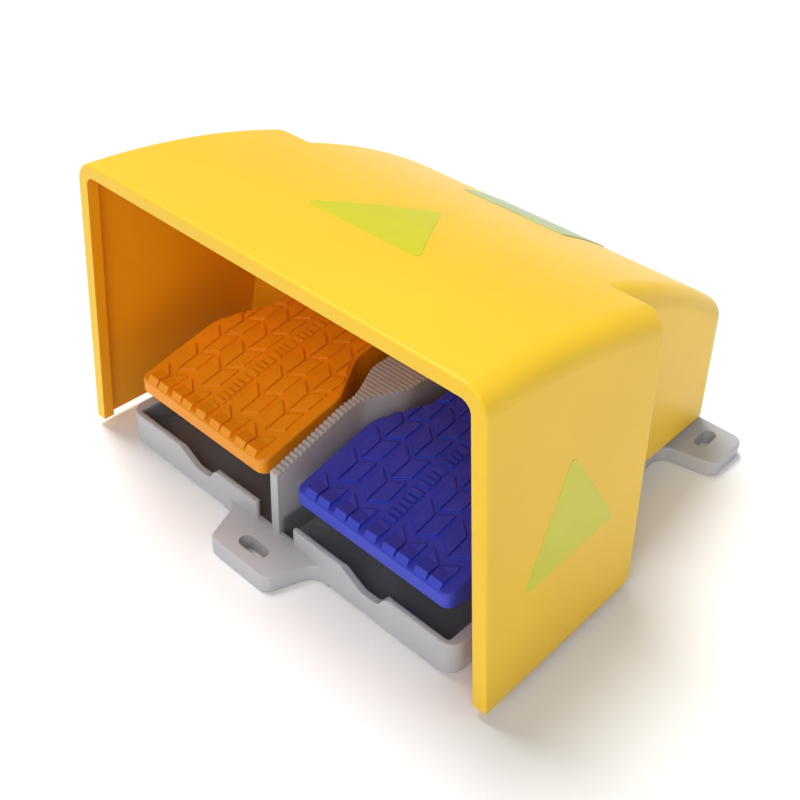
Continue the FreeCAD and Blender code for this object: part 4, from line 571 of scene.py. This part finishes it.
class FOOTSWITCH_OT_camera(Step):
    """Stand the camera where the reference view was taken from"""

    bl_idname = "footswitch.camera"
    bl_label = "Camera"

    def execute(self, context):
        studio = context.scene.footswitch_stage
        lens = bpy.data.cameras.new("view")
        lens.lens = studio.lens
        lens.sensor_width = SENSOR_WIDTH
        lens.shift_x, lens.shift_y = (part / PICTURE_WIDTH for part in studio.shift)
        lens.clip_start = 0.01
        camera = bpy.data.objects.new("view", lens)
        context.scene.collection.objects.link(camera)
        turn = Matrix.Rotation(studio.turn, 4, "Z")
        tilt = Matrix.Rotation(math.pi / 2 - studio.down, 4, "X")
        lean = Matrix.Rotation(studio.roll, 4, "Z")
        camera.matrix_world = Matrix.Translation(studio.eye) @ turn @ tilt @ lean
        context.scene.camera = camera
        return {"FINISHED"}


class FOOTSWITCH_OT_stage(Step):
    """Pale floor, even surroundings and soft lamps"""

    bl_idname = "footswitch.stage"
    bl_label = "Floor and light"

    def execute(self, context):
        scene = context.scene
        studio = scene.footswitch_stage
        scene.view_settings.view_transform = "Standard"
        self.floor(scene)
        self.surroundings(scene, studio.sky)
        self.lamp(scene, "key", studio.key, studio.key_soft, studio.key_from)
        self.lamp(scene, "fill", studio.fill, studio.fill_soft, studio.fill_from)
        return {"FINISHED"}

    def floor(self, scene):
        """A plane just under the object."""
        reach, level = 6.0, -0.2 * MM
        corners = [(x * reach, y * reach, level) for x, y in ((-1, -1), (1, -1), (1, 1), (-1, 1))]
        mesh = bpy.data.meshes.new("floor")
        mesh.from_pydata(corners, [], [(0, 1, 2, 3)])
        floor = bpy.data.objects.new("floor", mesh)
        scene.collection.objects.link(floor)
        made = Nodes("floor_paper")
        base = made.ramp(made.noise(0.4), [(0.3, 0.93), (0.7, 0.95)])
        made.set(Roughness=0.9, Specular_IOR_Level=0.1)
        mesh.materials.append(made.finish(base))

    def surroundings(self, scene, strength):
        """An even light all round, which the camera sees as white."""
        world = bpy.data.worlds.new("surroundings")
        world.use_nodes = True
        scene.world = world
        tree = world.node_tree
        tree.nodes.clear()
        kinds = ("OutputWorld", "LightPath", "Math", "Background", "Background", "MixShader")
        out, path, seen, even, white, mix = (tree.nodes.new("ShaderNode" + kind) for kind in kinds)
        seen.operation = "MAXIMUM"
        for node, value in ((even, strength), (white, 1.0)):
            node.inputs["Strength"].default_value = value
            node.inputs["Color"].default_value = (1.0, 1.0, 1.0, 1.0)
        links = (
            (path.outputs["Is Camera Ray"], seen.inputs[0]),
            (path.outputs["Is Transmission Ray"], seen.inputs[1]),
            (seen.outputs[0], mix.inputs["Fac"]),
            (even.outputs[0], mix.inputs[1]),
            (white.outputs[0], mix.inputs[2]),
            (mix.outputs[0], out.inputs["Surface"]),
        )
        for start, end in links:
            tree.links.new(start, end)

    def lamp(self, scene, name, strength, softness, direction):
        """A broad, far lamp. direction points from the object to it."""
        data = bpy.data.lights.new(name, "SUN")
        data.energy = strength
        data.angle = softness
        lamp = bpy.data.objects.new(name, data)
        lamp.rotation_euler = Vector(direction).to_track_quat("Z", "Y").to_euler()
        scene.collection.objects.link(lamp)


class FOOTSWITCH_OT_hood(Step):
    """Powder coat on the guard hood"""

    bl_idname = "footswitch.hood"
    bl_label = "Hood coat"

    def execute(self, context):
        settings = context.scene.footswitch_finish
        form = context.scene.footswitch_hood
        # The coat's inside colour is painted bounce light and shade
        dress(coated("hood_coat", settings.hood, settings.inside, settings.peel, form), "hood")
        return {"FINISHED"}


class FOOTSWITCH_OT_patches(Step):
    """Two plain triangular patches and a bare plate on the hood"""

    bl_idname = "footswitch.patches"
    bl_label = "Patches and plate"

    def execute(self, context):
        settings = context.scene.footswitch_finish
        hood = context.scene.footswitch_hood
        lime = film("patch_film", settings.patch)
        pale = film("plate_coat", settings.plate)
        rows = (
            ("patch_roof", ROOF_PATCH, hood.film_corner, hood.film, roof_point, lime),
            ("patch_side", SIDE_PATCH, hood.film_corner, hood.film, side_point, lime),
            ("plate_roof", ROOF_PLATE, hood.plate_corner, hood.plate_thick, roof_point, pale),
        )
        for name, corners, radius, lift, surface, material in rows:
            edge = between(outline(corners, radius), gap=3 * MM)
            piece = thin_sheet(name, edge, lift, surface, hood)
            piece.data.materials.append(material)
            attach(piece, "base")
        return {"FINISHED"}


class FOOTSWITCH_OT_base(Step):
    """Paint on the base casting, and the bare arms"""

    bl_idname = "footswitch.base"
    bl_label = "Base paint"

    def execute(self, context):
        settings = context.scene.footswitch_finish
        # The base paint carries painted shade inside each tray
        dress(cast_paint("base_paint", settings.base, settings.tray_shade), "base_casting")
        dress(metal("arm_casting", (0.55, 0.56, 0.58), roughness=0.45), *both("pedal_arm"))
        return {"FINISHED"}


class FOOTSWITCH_OT_pedals(Step):
    """Moulded pedal covers"""

    bl_idname = "footswitch.pedals"
    bl_label = "Pedals"

    def execute(self, context):
        settings = context.scene.footswitch_finish
        dress(moulded("pedal_orange", settings.left_pedal), "pedal_left")
        dress(moulded("pedal_blue", settings.right_pedal), "pedal_right")
        return {"FINISHED"}


class FOOTSWITCH_OT_works(Step):
    """Finishes of the shaft, screws, springs, switches, pads and cable gland"""

    bl_idname = "footswitch.works"
    bl_label = "Works and gland"

    def execute(self, context):
        zinc = metal("zinc_plate", (0.62, 0.63, 0.64), roughness=0.30)
        dress(zinc, "hood_screws", "shaft_clips", "switch_screws", "switch_nuts", "bracket_screws",
              *both("pedal_screws", "adjuster_screw", "adjuster_nut"))
        turned = metal("turned_steel", (0.58, 0.58, 0.59), roughness=0.22, stretch=(0.05, 1.0, 1.0))
        dress(turned, "pivot_shaft", "pivot_spacers")
        dress(metal("plated_sheet", (0.66, 0.64, 0.56), roughness=0.34), *both("switch_bracket"))
        wire = metal("spring_wire", (0.42, 0.42, 0.43), roughness=0.28)
        for side in SIDES:
            self.spring(side, wire, context.scene.footswitch_spring)
        dress(metal("brass", (0.78, 0.58, 0.26), roughness=0.28), "terminal_screws", "earth_screw")
        dress(moulded("bush_plastic", (0.80, 0.78, 0.70)), *both("pivot_bushes"))
        dress(moulded("switch_case", (0.022, 0.022, 0.024)), *both("switch_body"))
        dress(moulded("plunger_red", (0.50, 0.03, 0.02)), *both("switch_plunger"))
        dress(moulded("gland_plastic", (0.030, 0.030, 0.033)), "gland_body", "gland_nut", "gland_locknut")
        dress(rubber("pad_rubber", (0.025, 0.025, 0.026)), "stop_pads", "rest_pads", "gland_seal")
        return {"FINISHED"}

    def spring(self, side, wire, settings):
        """A coil in the place of one spring."""
        node = "return_spring_" + side
        low, high = (np.array(corner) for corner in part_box(node))
        foot = np.array([(low[0] + high[0]) / 2, (low[1] + high[1]) / 2, low[2]])
        piece = coil("coil_spring_" + side, foot, high[2] - low[2], settings)
        piece.data.materials.append(wire)
        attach(piece, "base")
        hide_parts(node)
        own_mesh(piece)


STEPS = (
    FOOTSWITCH_OT_camera, FOOTSWITCH_OT_stage, FOOTSWITCH_OT_hood, FOOTSWITCH_OT_patches,
    FOOTSWITCH_OT_base, FOOTSWITCH_OT_pedals, FOOTSWITCH_OT_works,
)


class FOOTSWITCH_PT_panel(bpy.types.Panel):
    """Lists the steps and their settings"""

    bl_idname = "FOOTSWITCH_PT_panel"
    bl_label = "Foot switch"
    bl_space_type = "VIEW_3D"
    bl_region_type = "UI"
    bl_category = "Foot switch"

    def draw(self, context):
        layout = self.layout
        for step in STEPS:
            layout.operator(step.bl_idname)
        scene = context.scene
        for settings in (scene.footswitch_finish, scene.footswitch_hood, scene.footswitch_spring,
                         scene.footswitch_stage):
            for word in settings.__annotations__:
                layout.prop(settings, word)


CLASSES = (FinishSettings, HoodSettings, SpringSettings, StageSettings) + STEPS + (FOOTSWITCH_PT_panel,)


def register():
    """Adds the steps and their settings to Blender."""
    for made in CLASSES:
        bpy.utils.register_class(made)
    bpy.types.Scene.footswitch_finish = PointerProperty(type=FinishSettings)
    bpy.types.Scene.footswitch_hood = PointerProperty(type=HoodSettings)
    bpy.types.Scene.footswitch_spring = PointerProperty(type=SpringSettings)
    bpy.types.Scene.footswitch_stage = PointerProperty(type=StageSettings)


def unregister():
    """Takes them away again."""
    del bpy.types.Scene.footswitch_stage
    del bpy.types.Scene.footswitch_spring
    del bpy.types.Scene.footswitch_hood
    del bpy.types.Scene.footswitch_finish
    for made in reversed(CLASSES):
        bpy.utils.unregister_class(made)


def main():
    """Builds the looks step by step."""
    register()
    for step in STEPS:
        group, name = step.bl_idname.split(".")
        getattr(getattr(bpy.ops, group), name)()


if __name__ == "__main__":
    main()
